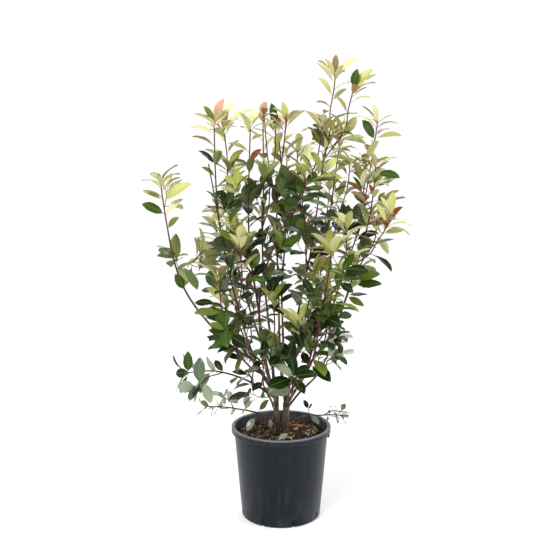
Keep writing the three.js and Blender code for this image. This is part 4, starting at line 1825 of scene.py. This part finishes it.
TRUNK_FINISHES = {
    "trunk_left": BarkFinish("dark_trunk_bark", (0.016, 0.01, 0.007), (0.085, 0.052, 0.034),
                             (0.36, 0.29, 0.21), 160.0),
    "trunk_right": BarkFinish("brown_trunk_bark", (0.045, 0.028, 0.018), (0.21, 0.14, 0.088),
                              (0.46, 0.37, 0.27), 160.0),
}
BOUGH_FINISH = BarkFinish("bough_bark", (0.05, 0.027, 0.021), (0.16, 0.095, 0.068),
                          (0.36, 0.28, 0.21), 230.0)


@dataclass
class Woodwork:
    """The trunks and the bare boughs, with the relief of their bark.

    Attributes:
        flare: How much wider a trunk is at its foot, up to flare_height.
        collar: How much wider a bough is at its foot, along collar_length over its radius.
    """

    limbs: dict[str, Limb]
    flare: float = 0.34
    flare_height: float = 30.0
    collar: float = 0.4
    collar_length: float = 4.0
    trunk_bark: Bark = Bark(44, 3.2, 2.6, 0.2)
    bough_bark: Bark = Bark(14, 5.0, 1.6, 0.1)

    def build(self) -> dict[str, Object]:
        """Builds a piece for each trunk and one for all the boughs.

        Returns:
            The pieces by the name of their trunk, and as boughs.
        """
        pieces: dict[str, Object] = {}
        corners: list[Array] = []
        faces: list[Face] = []
        for name, limb in self.limbs.items():
            line = limb.bough
            if limb.cane is None:
                swell = partial(self._swell, self.flare, line.length, self.flare_height)
                made = self.trunk_bark.rings(line, swell)
                pieces[name] = self._piece(f"{name}_bark", *made, TRUNK_FINISHES[name])
                continue
            reach = self.collar_length * line.radii[0]
            swell = partial(self._swell, self.collar, line.length, reach)
            made = self.bough_bark.rings(line, swell)
            faces += [tuple(len(corners) + corner for corner in face) for face in made[1]]
            corners += made[0]
        pieces["boughs"] = self._piece("boughs", corners, faces, BOUGH_FINISH)
        return pieces

    @staticmethod
    def _swell(most: float, length: float, reach: float, share: float) -> float:
        """What scales a limb's radius at a share of its length, if its foot is wider."""
        return 1 + most * max(0.0, 1 - share * length / reach) ** 2

    @staticmethod
    def _piece(name: str, corners: Sequence[Array], faces: Sequence[Face],
               finish: BarkFinish) -> Object:
        """Makes one piece.

        Args:
            name: Its name.
            corners: Its corners.
            faces: The corners of each face.
            finish: Its finish.

        Returns:
            The piece.
        """
        mesh = mesh_of(name, corners, faces)
        mesh.materials.append(finish.material())
        return link_object(mesh)


# ---- Pot ----


@dataclass(frozen=True)
class PlasticFinish:
    """The finish of the pot: moulded plastic, worn and painted with a highlight at the lip, with a
    dusting and painted sheen.

    Attributes:
        film: The colour of the dried film inside, made pale partly as a painted sheen.
        edge: How far below the top the edge's wear and painted highlight start and are full.
        band: How far below the top the scuffs of the lip start and are full.
        foot: The height up to which splashes reach.
        roughness: The least roughness.
    """

    name: str = "pot_plastic"
    body: Colour = (0.001, 0.0036, 0.0082)
    # The pale colour of the rubbed lip, also a painted highlight along its top edge.
    worn: Colour = (0.2, 0.212, 0.235)
    # The pale colour of the splashes at the foot, also used for painted reflection streaks down the
    # wall.
    dust_and_sheen: Colour = (0.031, 0.037, 0.047)
    film: Colour = (0.15, 0.16, 0.178)
    roughness: float = 0.19
    shine: float = 0.24
    edge: Pair = (4.2, 0.4)
    band: Pair = (21, 15)
    foot: float = 55

    FINE = (420.0, 3.0)
    CLOUD = (16.0, 4.0)
    FLOW = (60.0, 3.0, (1.0, 1.0, 0.06))
    SCUFF = (130.0, 5.0, (1.0, 1.0, 3.4))
    EDGE_WEAR_AND_HIGHLIGHT = (0.35, 1.25)
    BAND_SCUFFS = (0.5, 0.74)
    BAND_WEAR = (0.01, 0.16)
    SPLASHES = (0.4, 0.68)
    SPLASH_SHARE = 0.45
    STREAKS = (0.42, 0.74)
    SHEEN_STREAK_CLOUDS = (0.34, 0.66)
    SHEEN_STREAK_SHARE = 0.42
    FILM_AND_SHEEN_CLOUDS = (0.3, 0.7)
    FILM_AND_SHEEN_SHARES = (0.3, 0.9)
    FILM_AND_SHEEN_START = 0.0005
    DULL_SCUFFS = (0.6, 0.75)
    SCUFF_DULLER = 0.12
    FLOW_DULLER = 0.16
    CLOUD_DULLER = 0.14
    FLOW_HEIGHT = 0.6
    FINE_HEIGHT = 0.25
    RELIEF = (0.0004, 0.5)

    def material(self, pot: Pot) -> Material:
        """Makes the material, with a worn lip and a painted highlight on its edge, faint flow
        lines, a dusting, painted reflection streaks and scuffs.

        Args:
            pot: The pot that it is for.

        Returns:
            The material.
        """
        surface = Surface(self.name, Specular_IOR_Level=self.shine)
        across, deep, up = (surface.axis(surface.place, letter) for letter in "XYZ")
        fine, cloud, flow, scuff = (
            surface.speckle(*pattern) for pattern in (self.FINE, self.CLOUD, self.FLOW, self.SCUFF))
        edge, band = (up.rising(*((pot.height - drop) * MM for drop in drops))
                      for drops in (self.edge, self.band))
        # The lip's top edge is lighter: partly real wear, partly a painted highlight. The band
        # below has real scuffs.
        lip = edge * cloud.from_to(*self.EDGE_WEAR_AND_HIGHLIGHT)
        lip += band * scuff.rising(*self.BAND_SCUFFS).from_to(*self.BAND_WEAR)
        foot = 1.0 - up.rising(0.0, self.foot * MM)
        dust_and_sheen = foot * cloud.rising(*self.SPLASHES) * self.SPLASH_SHARE
        # Vertical streaks of the pale colour down the wall are a painted reflection. The splashes
        # at the foot are real dirt.
        streaked = cloud.rising(*self.SHEEN_STREAK_CLOUDS)
        dust_and_sheen += flow.rising(*self.STREAKS) * streaked * self.SHEEN_STREAK_SHARE
        # A pale film on the inner wall: partly dried film, partly a painted sheen of the lit inner
        # wall.
        far = (across * across + deep * deep) ** 0.5
        slope = (pot.neck_radius - pot.base_radius) / (pot.height - pot.lip_height)
        middle = (pot.base_radius - pot.wall / 2) * MM + up * slope
        film = (middle - far).rising(-self.FILM_AND_SHEEN_START, self.FILM_AND_SHEEN_START)
        film *= cloud.rising(*self.FILM_AND_SHEEN_CLOUDS).from_to(*self.FILM_AND_SHEEN_SHARES)
        dusted_and_sheened = surface.mixed(dust_and_sheen.clamped(), self.body, self.dust_and_sheen)
        lined_and_sheened = surface.mixed(film.clamped(), dusted_and_sheened, self.film)
        dull = flow * self.FLOW_DULLER + cloud * self.CLOUD_DULLER + self.roughness
        dull += scuff.rising(*self.DULL_SCUFFS) * self.SCUFF_DULLER
        relief = flow * self.FLOW_HEIGHT + fine * self.FINE_HEIGHT
        surface.dress(Base_Color=surface.mixed(lip.clamped(), lined_and_sheened, self.worn),
                      Roughness=dull.clamped(), Normal=surface.relief(relief, *self.RELIEF))
        return surface.material


@dataclass
class Pot:
    """The round nursery pot. Angles in degrees.

    Attributes:
        neck_radius: Outside the wall, just under the lip's band.
        lip_step: How far out and up the wall steps under it.
        lip_hollow: How far the band is hollowed.
        outside: The heights of the rings of corners up the wall.
        inside: Those down its inside.
        slot_height: How far the drain slots run up the wall.
        slot_reach: How far they run in under the floor.
        slot_turn: How far they are turned from an even spread about the front.
        sharp: The least angle between faces whose edge is shaded as a sharp one.
        lug: Half the width, the depth and the height of the grip under the lip.
        lug_turn: Where it is round the pot, from the right.
        lug_sunk: How far its middle lies under the lip's band, over its height.
    """

    height: float = 260
    rim_radius: float = 140
    neck_radius: float = 132
    base_radius: float = 111
    wall: float = 2.4
    floor: float = 3
    lip_height: float = 17
    lip_roll: float = 3
    lip_step: Pair = (1.2, 0.6)
    lip_hollow: float = 0.6
    foot_roll: float = 5
    outside: tuple[float, ...] = (18, 22, 60, 110, 160, 205, 232)
    inside: tuple[float, ...] = (235, 222, 120)
    slots: int = 8
    slot_width: float = 8
    slot_height: float = 23
    slot_reach: float = 14
    slot_turn: float = -5
    sides: int = 144
    sharp: float = 40
    lug: Point = (8, 5.5, 15)
    lug_turn: float = -9
    lug_sunk: float = 0.25
    lug_inset: float = 2.6
    lug_bevel: float = 1.2

    QUARTER = (0, 22.5, 45, 67.5, 90)

    def wall_radius(self, height: float) -> float:
        """The wall's outside radius at a height."""
        share = height / (self.height - self.lip_height)
        return between((self.base_radius, self.neck_radius), share)

    def _profile(self) -> list[Pair]:
        """Draws the section from the middle of the underside out and back to the floor.

        Returns:
            Pairs of radius and height.
        """
        roll, foot = self.lip_roll, self.foot_roll
        lip_foot, top = self.height - self.lip_height, self.height - roll
        edge, inner = self.rim_radius - roll, self.neck_radius - self.wall + roll
        turns = [(math.sin(a), math.cos(a)) for a in map(math.radians, self.QUARTER)]
        return [
            (0.0, 0.0), (self.base_radius / 2, 0.0),
            *((self.wall_radius(foot) - foot + foot * s, foot - foot * c) for s, c in turns),
            *((self.wall_radius(z), z) for z in self.outside),
            (self.neck_radius, lip_foot - self.lip_step[1]),
            (self.neck_radius + self.lip_step[0], lip_foot),
            *((edge + roll * s, lip_foot + roll - roll * c) for s, c in turns[1:]),
            (self.rim_radius - self.lip_hollow, self.height - self.lip_height / 2),
            *((edge + roll * c, top + roll * s) for s, c in turns),
            *((inner - roll * s, top + roll * c) for s, c in turns),
            *((self.wall_radius(z) - self.wall, z) for z in (*self.inside, self.floor)),
            (0.0, self.floor)]

    def _shell(self) -> Mesh:
        """Makes the pot without its slots, as one closed mesh.

        Returns:
            The mesh.
        """
        profile = self._profile()
        ring = profile[1:-1]
        points = [(r * math.cos(t), r * math.sin(t), z)
                  for r, z in ring for t in round_angles(self.sides)]
        faces = ring_faces(len(ring), self.sides)
        first, top = len(points), len(points) - self.sides
        points += [(0.0, 0.0, profile[0][1]), (0.0, 0.0, profile[-1][1])]
        for k in range(self.sides):
            after = (k + 1) % self.sides
            faces += [(first, after, k), (first + 1, top + k, top + after)]
        return mesh_of("pot_shell", points, faces)

    def _grip(self, mesh: Mesh) -> None:
        """Adds the grip, a rounded block under the lip at one side.

        Args:
            mesh: The pot's mesh.
        """
        half, depth, height = self.lug
        shape = bmesh.new()
        shape.from_mesh(mesh)
        block = bmesh.ops.create_cube(shape, size=1.0)["verts"]
        turn = math.radians(self.lug_turn)
        out = Vector((math.cos(turn), math.sin(turn), 0.0))
        side = Vector((-out.y, out.x, 0.0))
        middle = self.height - self.lip_height - self.lug_sunk * height
        reach = self.rim_radius - self.lug_inset - depth / 2
        for corner in block:
            x, y, z = corner.co
            corner.co = (out * (reach + x * depth) + side * (y * 2 * half)
                         + Vector((0.0, 0.0, middle + z * height))) * MM
        edges = {edge for corner in block for edge in corner.link_edges}
        bmesh.ops.bevel(
            shape, geom=list(edges), offset=self.lug_bevel * MM, segments=2, affect="EDGES")
        shape.to_mesh(mesh)
        shape.free()

    @staticmethod
    def _tree() -> Workshop:
        """Plans how drain slots are cut round the foot.

        Returns:
            The tree.
        """
        shop = Workshop("drain slots", {
            "Slots": int, "Turn": float, "Foot Radius": float, "Width": float, "Height": float,
            "Reach": float, "Plastic": Material})
        foot = shop.node("GeometryNodeMeshCircle", {
            "Vertices": shop.given("Slots"), "Radius": shop.given("Foot Radius")})
        half_step = math.pi / shop.given("Slots") + shop.given("Turn")
        turned_foot = shop.node("GeometryNodeTransform", {
            "Geometry": foot, "Rotation": shop.node("ShaderNodeCombineXYZ", {"Z": half_step})})
        size = shop.node("ShaderNodeCombineXYZ", {
            "X": shop.given("Reach") * 2.0, "Y": shop.given("Width"),
            "Z": shop.given("Height") * 2.0})
        facing = shop.node(
            "FunctionNodeAxesToRotation", {0: shop.node("GeometryNodeInputPosition"), 1: tuple(UP)},
            primary_axis="X", secondary_axis="Z")
        cutters = shop.node("GeometryNodeInstanceOnPoints", {
            "Points": turned_foot, "Instance": shop.node("GeometryNodeMeshCube", {"Size": size}),
            "Rotation": facing})
        loose = shop.node("GeometryNodeRealizeInstances", {0: cutters})
        cut = shop.node("GeometryNodeMeshBoolean", {0: shop.given("Geometry"), 1: loose},
                        operation="DIFFERENCE")
        return shop.finish(cut, {"Plastic": True})

    def build(self) -> Object:
        """Builds the pot, its slots and its grip.

        Returns:
            The piece.
        """
        plastic = PlasticFinish().material(self)
        piece = self._tree().apply(link_object(self._shell()), "nursery_pot", {
            "Slots": self.slots, "Turn": math.radians(self.slot_turn),
            "Foot Radius": self.base_radius * MM, "Width": self.slot_width * MM,
            "Height": self.slot_height * MM, "Reach": self.slot_reach * MM, "Plastic": plastic})
        mesh = piece.data
        self._grip(mesh)
        mesh.materials.clear()
        mesh.materials.append(plastic)
        mesh.shade_smooth()
        mesh.set_sharp_from_angle(angle=math.radians(self.sharp))
        return piece


# ---- Growing medium ----


@dataclass(frozen=True)
class ChipKind:
    """Bark chips of one colour.

    Attributes:
        pale: The colour of their worn grain.
        density: How many there are to a square metre.
        lean: How much more of them lie at the right than at the left, from -1 to 1.
        sizes: Least and greatest length.
    """

    name: str
    colour: Colour
    pale: Colour
    density: float
    seed: int
    lean: float
    sizes: Pair

    GRAIN = (260.0, 4.0, (1.0, 0.4, 0.7))
    STREAKS = (0.38, 0.68)
    ROUGHNESS = (0.98, 0.73)
    RELIEF = (0.0012, 0.8)

    def material(self) -> Material:
        """Makes the material: rough bark, streaked along its grain.

        Returns:
            The material.
        """
        surface = Surface(self.name)
        grain = surface.speckle(*self.GRAIN)
        streaks = grain.rising(*self.STREAKS)
        surface.dress(Base_Color=surface.mixed(streaks, self.colour, self.pale),
                      Roughness=grain.from_to(*self.ROUGHNESS),
                      Normal=surface.relief(grain, *self.RELIEF))
        return surface.material


CHIP_KINDS = (
    ChipKind("chips_dark", (0.014, 0.008, 0.006), (0.05, 0.026, 0.018), 9500, 3, 0.0, (8, 22)),
    ChipKind("chips_brown", (0.12, 0.042, 0.022), (0.3, 0.13, 0.072), 6500, 8, -0.5, (8, 24)),
    ChipKind("chips_gold", (0.42, 0.26, 0.1), (0.78, 0.6, 0.35), 4200, 21, 0.9, (8, 26)),
)


@dataclass(frozen=True)
class EarthFinish:
    """The finish of the earth: brown crumbs with dark gaps on top, and very dark painted shade
    below.
    """

    name: str = "earth"
    dark: Colour = (0.012, 0.007, 0.005)
    brown: Colour = (0.07, 0.036, 0.022)
    painted_shade: Colour = (0.004, 0.0025, 0.002)

    CRUMBS = (300.0, 5.0)
    BROWN_CRUMBS = (0.35, 0.7)
    CLOD_SCALE = 170.0
    CLOD_HEIGHT = 0.8
    ROUGHNESS = (1.0, 0.88)
    RELIEF = (0.002, 1.0)

    def material(self, low: float, high: float) -> Material:
        """Makes the material.

        Args:
            low: The height up to which it is painted very dark, as shade.
            high: The height from which its crumbs show.

        Returns:
            The material.
        """
        surface = Surface(self.name)
        crumb = surface.speckle(*self.CRUMBS)
        clod = surface.cells(self.CLOD_SCALE)
        depth = surface.axis(surface.place, "Z").rising(low * MM, high * MM)
        crumbly = surface.mixed(crumb.rising(*self.BROWN_CRUMBS), self.dark, self.brown)
        surface.dress(Base_Color=surface.mixed(depth, self.painted_shade, crumbly),
                      Roughness=crumb.from_to(*self.ROUGHNESS),
                      Normal=surface.relief(crumb + clod * self.CLOD_HEIGHT, *self.RELIEF))
        return surface.material


@dataclass
class Soil:
    """The growing medium: crumbs of dark earth under loose bark chips.

    Attributes:
        top: Its height at the trunks, and mound how much lower it is at the wall.
        slope: The share of the fall past the middle between the mound and the wall.
        crumb_scale: How fast the rough and the fine crumbs change from place to place.
        chip_reach: How far from the middle chips lie.
        lean_span: The places across between which a lean grows.
        chip_corners: How many points a chip is wrapped round.
        chip_turns: The least and the greatest turn of a chip about each axis, in radians.
        chip_lift: How high the highest chips lie, in metres.
    """

    pot: Pot
    top: float = 236
    mound: float = 5
    mound_radius: float = 46
    slope: float = 0.4
    gap: float = 0.3
    crumbs: float = 1.8
    crumb_scale: Pair = (0.11, 0.33)
    fine_crumbs: float = 0.6
    fine_level: float = 7.0
    sides: int = 96
    rings: int = 30
    chip_reach: float = 122.9
    lean_span: Pair = (-20, 50)
    chip_shapes: int = 6
    chip_corners: int = 11
    chip_width: float = 0.24
    chip_depth: float = 0.1
    chip_turns: tuple[Point, Point] = ((-0.7, -0.5, 0.0), (0.7, 0.5, 6.28))
    chip_lift: float = 0.004

    CHIP_KEYS = (31, 32, 33)

    def _height(self, radius: float, x: float, y: float) -> float:
        """Works out the height of the surface.

        Args:
            radius: How far from the middle.
            x: The place across.
            y: The place in depth.

        Returns:
            The height.
        """
        edge = self.pot.wall_radius(self.top) - self.pot.wall - self.gap
        middle = (edge + self.mound_radius) / 2
        heights = (self.top, self.top - self.mound * (1 - self.slope), self.top - self.mound)
        smooth = float(np.interp(radius, (self.mound_radius, middle, edge), heights))
        coarse, fine = self.crumb_scale
        rough = noise.noise(Vector((x * coarse, y * coarse, 0.0)))
        rough += self.fine_crumbs * noise.noise(Vector((x * fine, y * fine, self.fine_level)))
        return smooth + self.crumbs * rough - self.crumbs

    def _surface(self) -> tuple[list[Point], list[Face]]:
        """Makes the top.

        Returns:
            The corners and the faces.
        """
        edge = self.pot.wall_radius(self.top - self.mound) - self.pot.wall - self.gap
        points = [(0.0, 0.0, self._height(0, 0, 0))]
        for ring in range(1, self.rings + 1):
            radius = edge * ring / self.rings
            for angle in round_angles(self.sides):
                x, y = radius * math.cos(angle), radius * math.sin(angle)
                points.append((x, y, self._height(radius, x, y)))
        faces = [(0, 1 + k, 1 + (k + 1) % self.sides) for k in range(self.sides)]
        faces += [(a, d, c, b) for a, b, c, d in ring_faces(self.rings, self.sides, 1)]
        return points, faces

    def _earth(self) -> Object:
        """Builds the whole body of earth, closed down to the pot's floor.

        Returns:
            The piece.
        """
        points, faces = self._surface()
        first, rim = len(points), len(points) - self.sides
        low = self.pot.floor + self.gap
        radius = self.pot.wall_radius(low) - self.pot.wall - 2 * self.gap
        points += [(radius * math.cos(angle), radius * math.sin(angle), low)
                   for angle in round_angles(self.sides)]
        points.append((0.0, 0.0, low))
        for k in range(self.sides):
            after = (k + 1) % self.sides
            faces += [(rim + k, first + k, first + after, rim + after),
                      (first + self.sides, first + after, first + k)]
        mesh = mesh_of("earth", points, faces)
        # Below the top the earth is very dark: a painted shade seen through the drain slots.
        mesh.materials.append(
            EarthFinish().material(self.top - 3 * self.mound, self.top - 2 * self.mound))
        return link_object(mesh)

    def _chip(self, number: int) -> Mesh:
        """Makes a chip of length 1, as a rough flat block.

        Args:
            number: Its number, which also names its chances.

        Returns:
            The mesh.
        """
        made = bmesh.new()
        for k in range(self.chip_corners):
            x, y, z = (2 * chance(number, k, key) - 1 for key in self.CHIP_KEYS)
            made.verts.new((x / 2, self.chip_width * y, self.chip_depth * z))
        hull = bmesh.ops.convex_hull(made, input=made.verts)
        loose = [v for v in hull["geom_interior"] if isinstance(v, bmesh.types.BMVert)]
        bmesh.ops.delete(made, geom=loose, context="VERTS")
        bmesh.ops.recalc_face_normals(made, faces=made.faces)
        mesh = bpy.data.meshes.new(f"chip_shape_{number}")
        made.to_mesh(mesh)
        made.free()
        return mesh

    def _tree(self) -> Workshop:
        """Plans how chips are strewn over a surface.

        Returns:
            The tree.
        """
        shop = Workshop("chips over the soil", {
            "Chips": Collection, "Density": float, "Least": float, "Greatest": float,
            "Seed": int, "Finish": Material})
        seed = shop.given("Seed")
        spread = shop.node("GeometryNodeDistributePointsOnFaces", {
            "Mesh": shop.given("Geometry"), "Seed": seed,
            "Density": shop.given("Density") * shop.attribute("share")}, distribute_method="RANDOM")
        turn, rise = (
            shop.node("FunctionNodeRandomValue", {0: least, 1: most, "Seed": seed},
                      data_type="FLOAT_VECTOR")
            for least, most in (self.chip_turns, ((0.0,) * 3, (0.0, 0.0, self.chip_lift))))
        size = shop.value("FunctionNodeRandomValue", {
            2: shop.given("Least"), 3: shop.given("Greatest"), "Seed": seed}, 1, data_type="FLOAT")
        lifted = shop.node("GeometryNodeSetPosition", {"Geometry": spread, "Offset": rise})
        placed = shop.node("GeometryNodeInstanceOnPoints", {
            "Points": lifted, "Instance": shop.patterns("Chips"), "Pick Instance": True,
            "Rotation": turn, "Scale": size})
        return shop.finish(placed, {"Finish": True})

    def build(self) -> list[Object]:
        """Builds the earth and one piece of chips for each kind.

        Returns:
            The pieces, the earth first.
        """
        pieces, tree = [self._earth()], self._tree()
        points, faces = self._surface()
        inner = [face for face in faces
                 if max(math.hypot(*points[c][:2]) for c in face) < self.chip_reach]
        with patterns_of("chip_shapes", [self._chip(i) for i in range(self.chip_shapes)]) as chips:
            for kind in CHIP_KINDS:
                mesh = mesh_of(kind.name + "_bed", points, inner)
                least, lean = 1 - abs(kind.lean), float(np.sign(kind.lean))
                add_numbers(mesh, "share", "FLOAT", [
                    np.interp(x * lean, self.lean_span, (least, 1.0)) for x, _, _ in points])
                pieces.append(tree.apply(link_object(mesh), kind.name, {
                    "Chips": chips, "Density": kind.density, "Least": kind.sizes[0] * MM,
                    "Greatest": kind.sizes[1] * MM, "Seed": kind.seed,
                    "Finish": kind.material()}))
        return pieces


# ---- Studio ----

WHITE = (1.0, 1.0, 1.0)


@dataclass(frozen=True)
class FloorFinish:
    """The finish of the floor: matt, almost white and faintly clouded."""

    name: str = "floor_paint"
    dark: Colour = (0.9, 0.9, 0.9)
    pale: Colour = (0.93, 0.93, 0.93)
    roughness: float = 0.9
    glow: float = 0.2

    CLOUD = (3.0, 2.0)

    def material(self) -> Material:
        """Makes the material.

        Returns:
            The material.
        """
        surface = Surface(self.name, Roughness=self.roughness, Emission_Color=WHITE,
                          Emission_Strength=self.glow)
        cloud = surface.speckle(*self.CLOUD)
        surface.dress(Base_Color=surface.mixed(cloud, self.dark, self.pale))
        return surface.material


@dataclass(frozen=True)
class Softbox:
    """A soft square light that points at the crown: its place, size and power, in metres."""

    name: str
    place: Point
    size: float
    power: float


@dataclass
class Studio:
    """A pale floor, soft light and the camera. Sizes in metres.

    Attributes:
        camera_pitch: How far the camera looks down, in radians.
        focal_pixels: Its focal length in pixels of a frame that is frame_pixels wide.
        sensor: Its sensor's width, in millimetres.
        sky_turn: Sines of the heights between which low_sky's strength becomes high_sky's.
        aim: What the lights point at.
    """

    camera_place: Point = (-0.0129, -2.441, 1.083)
    camera_pitch: float = 0.162
    focal_pixels: float = 900
    frame_pixels: float = 553
    sensor: float = 36
    floor_radius: float = 1.8
    floor_sides: int = 96
    floor_drop: float = 0.0005
    low_sky: float = 1.04
    high_sky: float = 0.3
    sky_turn: Pair = (0.16, 0.5)
    aim: Point = (0.0, 0.0, 0.75)
    lights: tuple[Softbox, ...] = (
        Softbox("key", (-1.3, -2.2, 3.2), 1.6, 105),
        Softbox("fill", (2.3, -1.2, 2.2), 1.8, 34),
        Softbox("back", (0.5, 2.4, 3.0), 1.8, 60),
    )

    def build(self) -> None:
        """Builds the sky, the lights, the floor and the camera."""
        bpy.context.scene.view_settings.view_transform = "Standard"
        self._add_sky()
        for light in self.lights:
            self._add_light(light)
        self._add_floor()
        self._add_camera()

    def _add_sky(self) -> None:
        """Adds a white sky that dims overhead."""
        world = bpy.data.worlds.new("studio")
        bpy.context.scene.world = world
        world.use_nodes = True
        graph = Graph(world.node_tree)
        height = graph.axis(graph.node("ShaderNodeTexCoord").outputs["Generated"], "Z")
        dim = height.rising(*self.sky_turn)
        sky = next(n for n in world.node_tree.nodes if n.type == "BACKGROUND")
        graph.feed(sky.inputs["Color"], WHITE)
        graph.feed(sky.inputs["Strength"], self.low_sky - dim * (self.low_sky - self.high_sky))

    def _add_light(self, light: Softbox) -> None:
        """Adds one light.

        Args:
            light: Its name, place, size and power.
        """
        lamp = bpy.data.lights.new(light.name, "AREA")
        lamp.shape = "SQUARE"
        lamp.size = light.size
        lamp.energy = light.power
        made = bpy.data.objects.new(light.name, lamp)
        made.location = light.place
        way = Vector(self.aim) - Vector(light.place)
        made.rotation_euler = way.to_track_quat("-Z", "Y").to_euler()
        bpy.context.scene.collection.objects.link(made)

    def _add_floor(self) -> None:
        """Adds the floor, a wide disc just under the pot."""
        points = [(self.floor_radius * math.cos(angle), self.floor_radius * math.sin(angle),
                   -self.floor_drop) for angle in round_angles(self.floor_sides)]
        mesh = mesh_of("floor", points, [tuple(range(self.floor_sides))], scale=1)
        mesh.materials.append(FloorFinish().material())
        link_object(mesh)

    def _add_camera(self) -> None:
        """Adds the camera."""
        camera = bpy.data.cameras.new("camera")
        camera.sensor_width = self.sensor
        camera.lens = self.focal_pixels / self.frame_pixels * self.sensor
        made = bpy.data.objects.new("camera", camera)
        made.location = self.camera_place
        made.rotation_euler = (math.pi / 2 - self.camera_pitch, 0.0, 0.0)
        bpy.context.scene.collection.objects.link(made)
        bpy.context.scene.camera = made


# ---- The shrub in its pot ----


def main() -> None:
    """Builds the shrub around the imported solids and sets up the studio."""
    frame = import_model()
    masses = sorted(name for name in frame["nodes"] if name.startswith("foliage_"))
    boughs = sorted(name for name in frame["nodes"] if name.startswith("bough_"))

    pot = Pot()
    place_piece(pot.build(), "pot", "pot")
    soil = Soil(pot)
    earth, *chips = soil.build()
    place_piece(earth, "soil", "soil")
    for piece in chips:
        place_piece(piece, "soil")

    limbs = grow_limbs(soil.top + soil.gap)
    crown = Crown(limbs, pot)
    LOG.info("%d leaves on %d stems", len(crown.leaves), len(crown.stems))
    for name, piece in Woodwork(limbs).build().items():
        place_piece(piece, *(("bough", *boughs) if name == "boughs" else ("trunk", name)))
    for name, piece in Stems(crown).build().items():
        place_piece(piece, "bough", *(masses if name == "canes" else ()))
    for piece in Foliage(crown).build():
        place_piece(piece, "foliage")

    Studio().build()


if __name__ == "__main__":
    logging.basicConfig(level=logging.INFO, format="%(name)s: %(message)s")
    main()
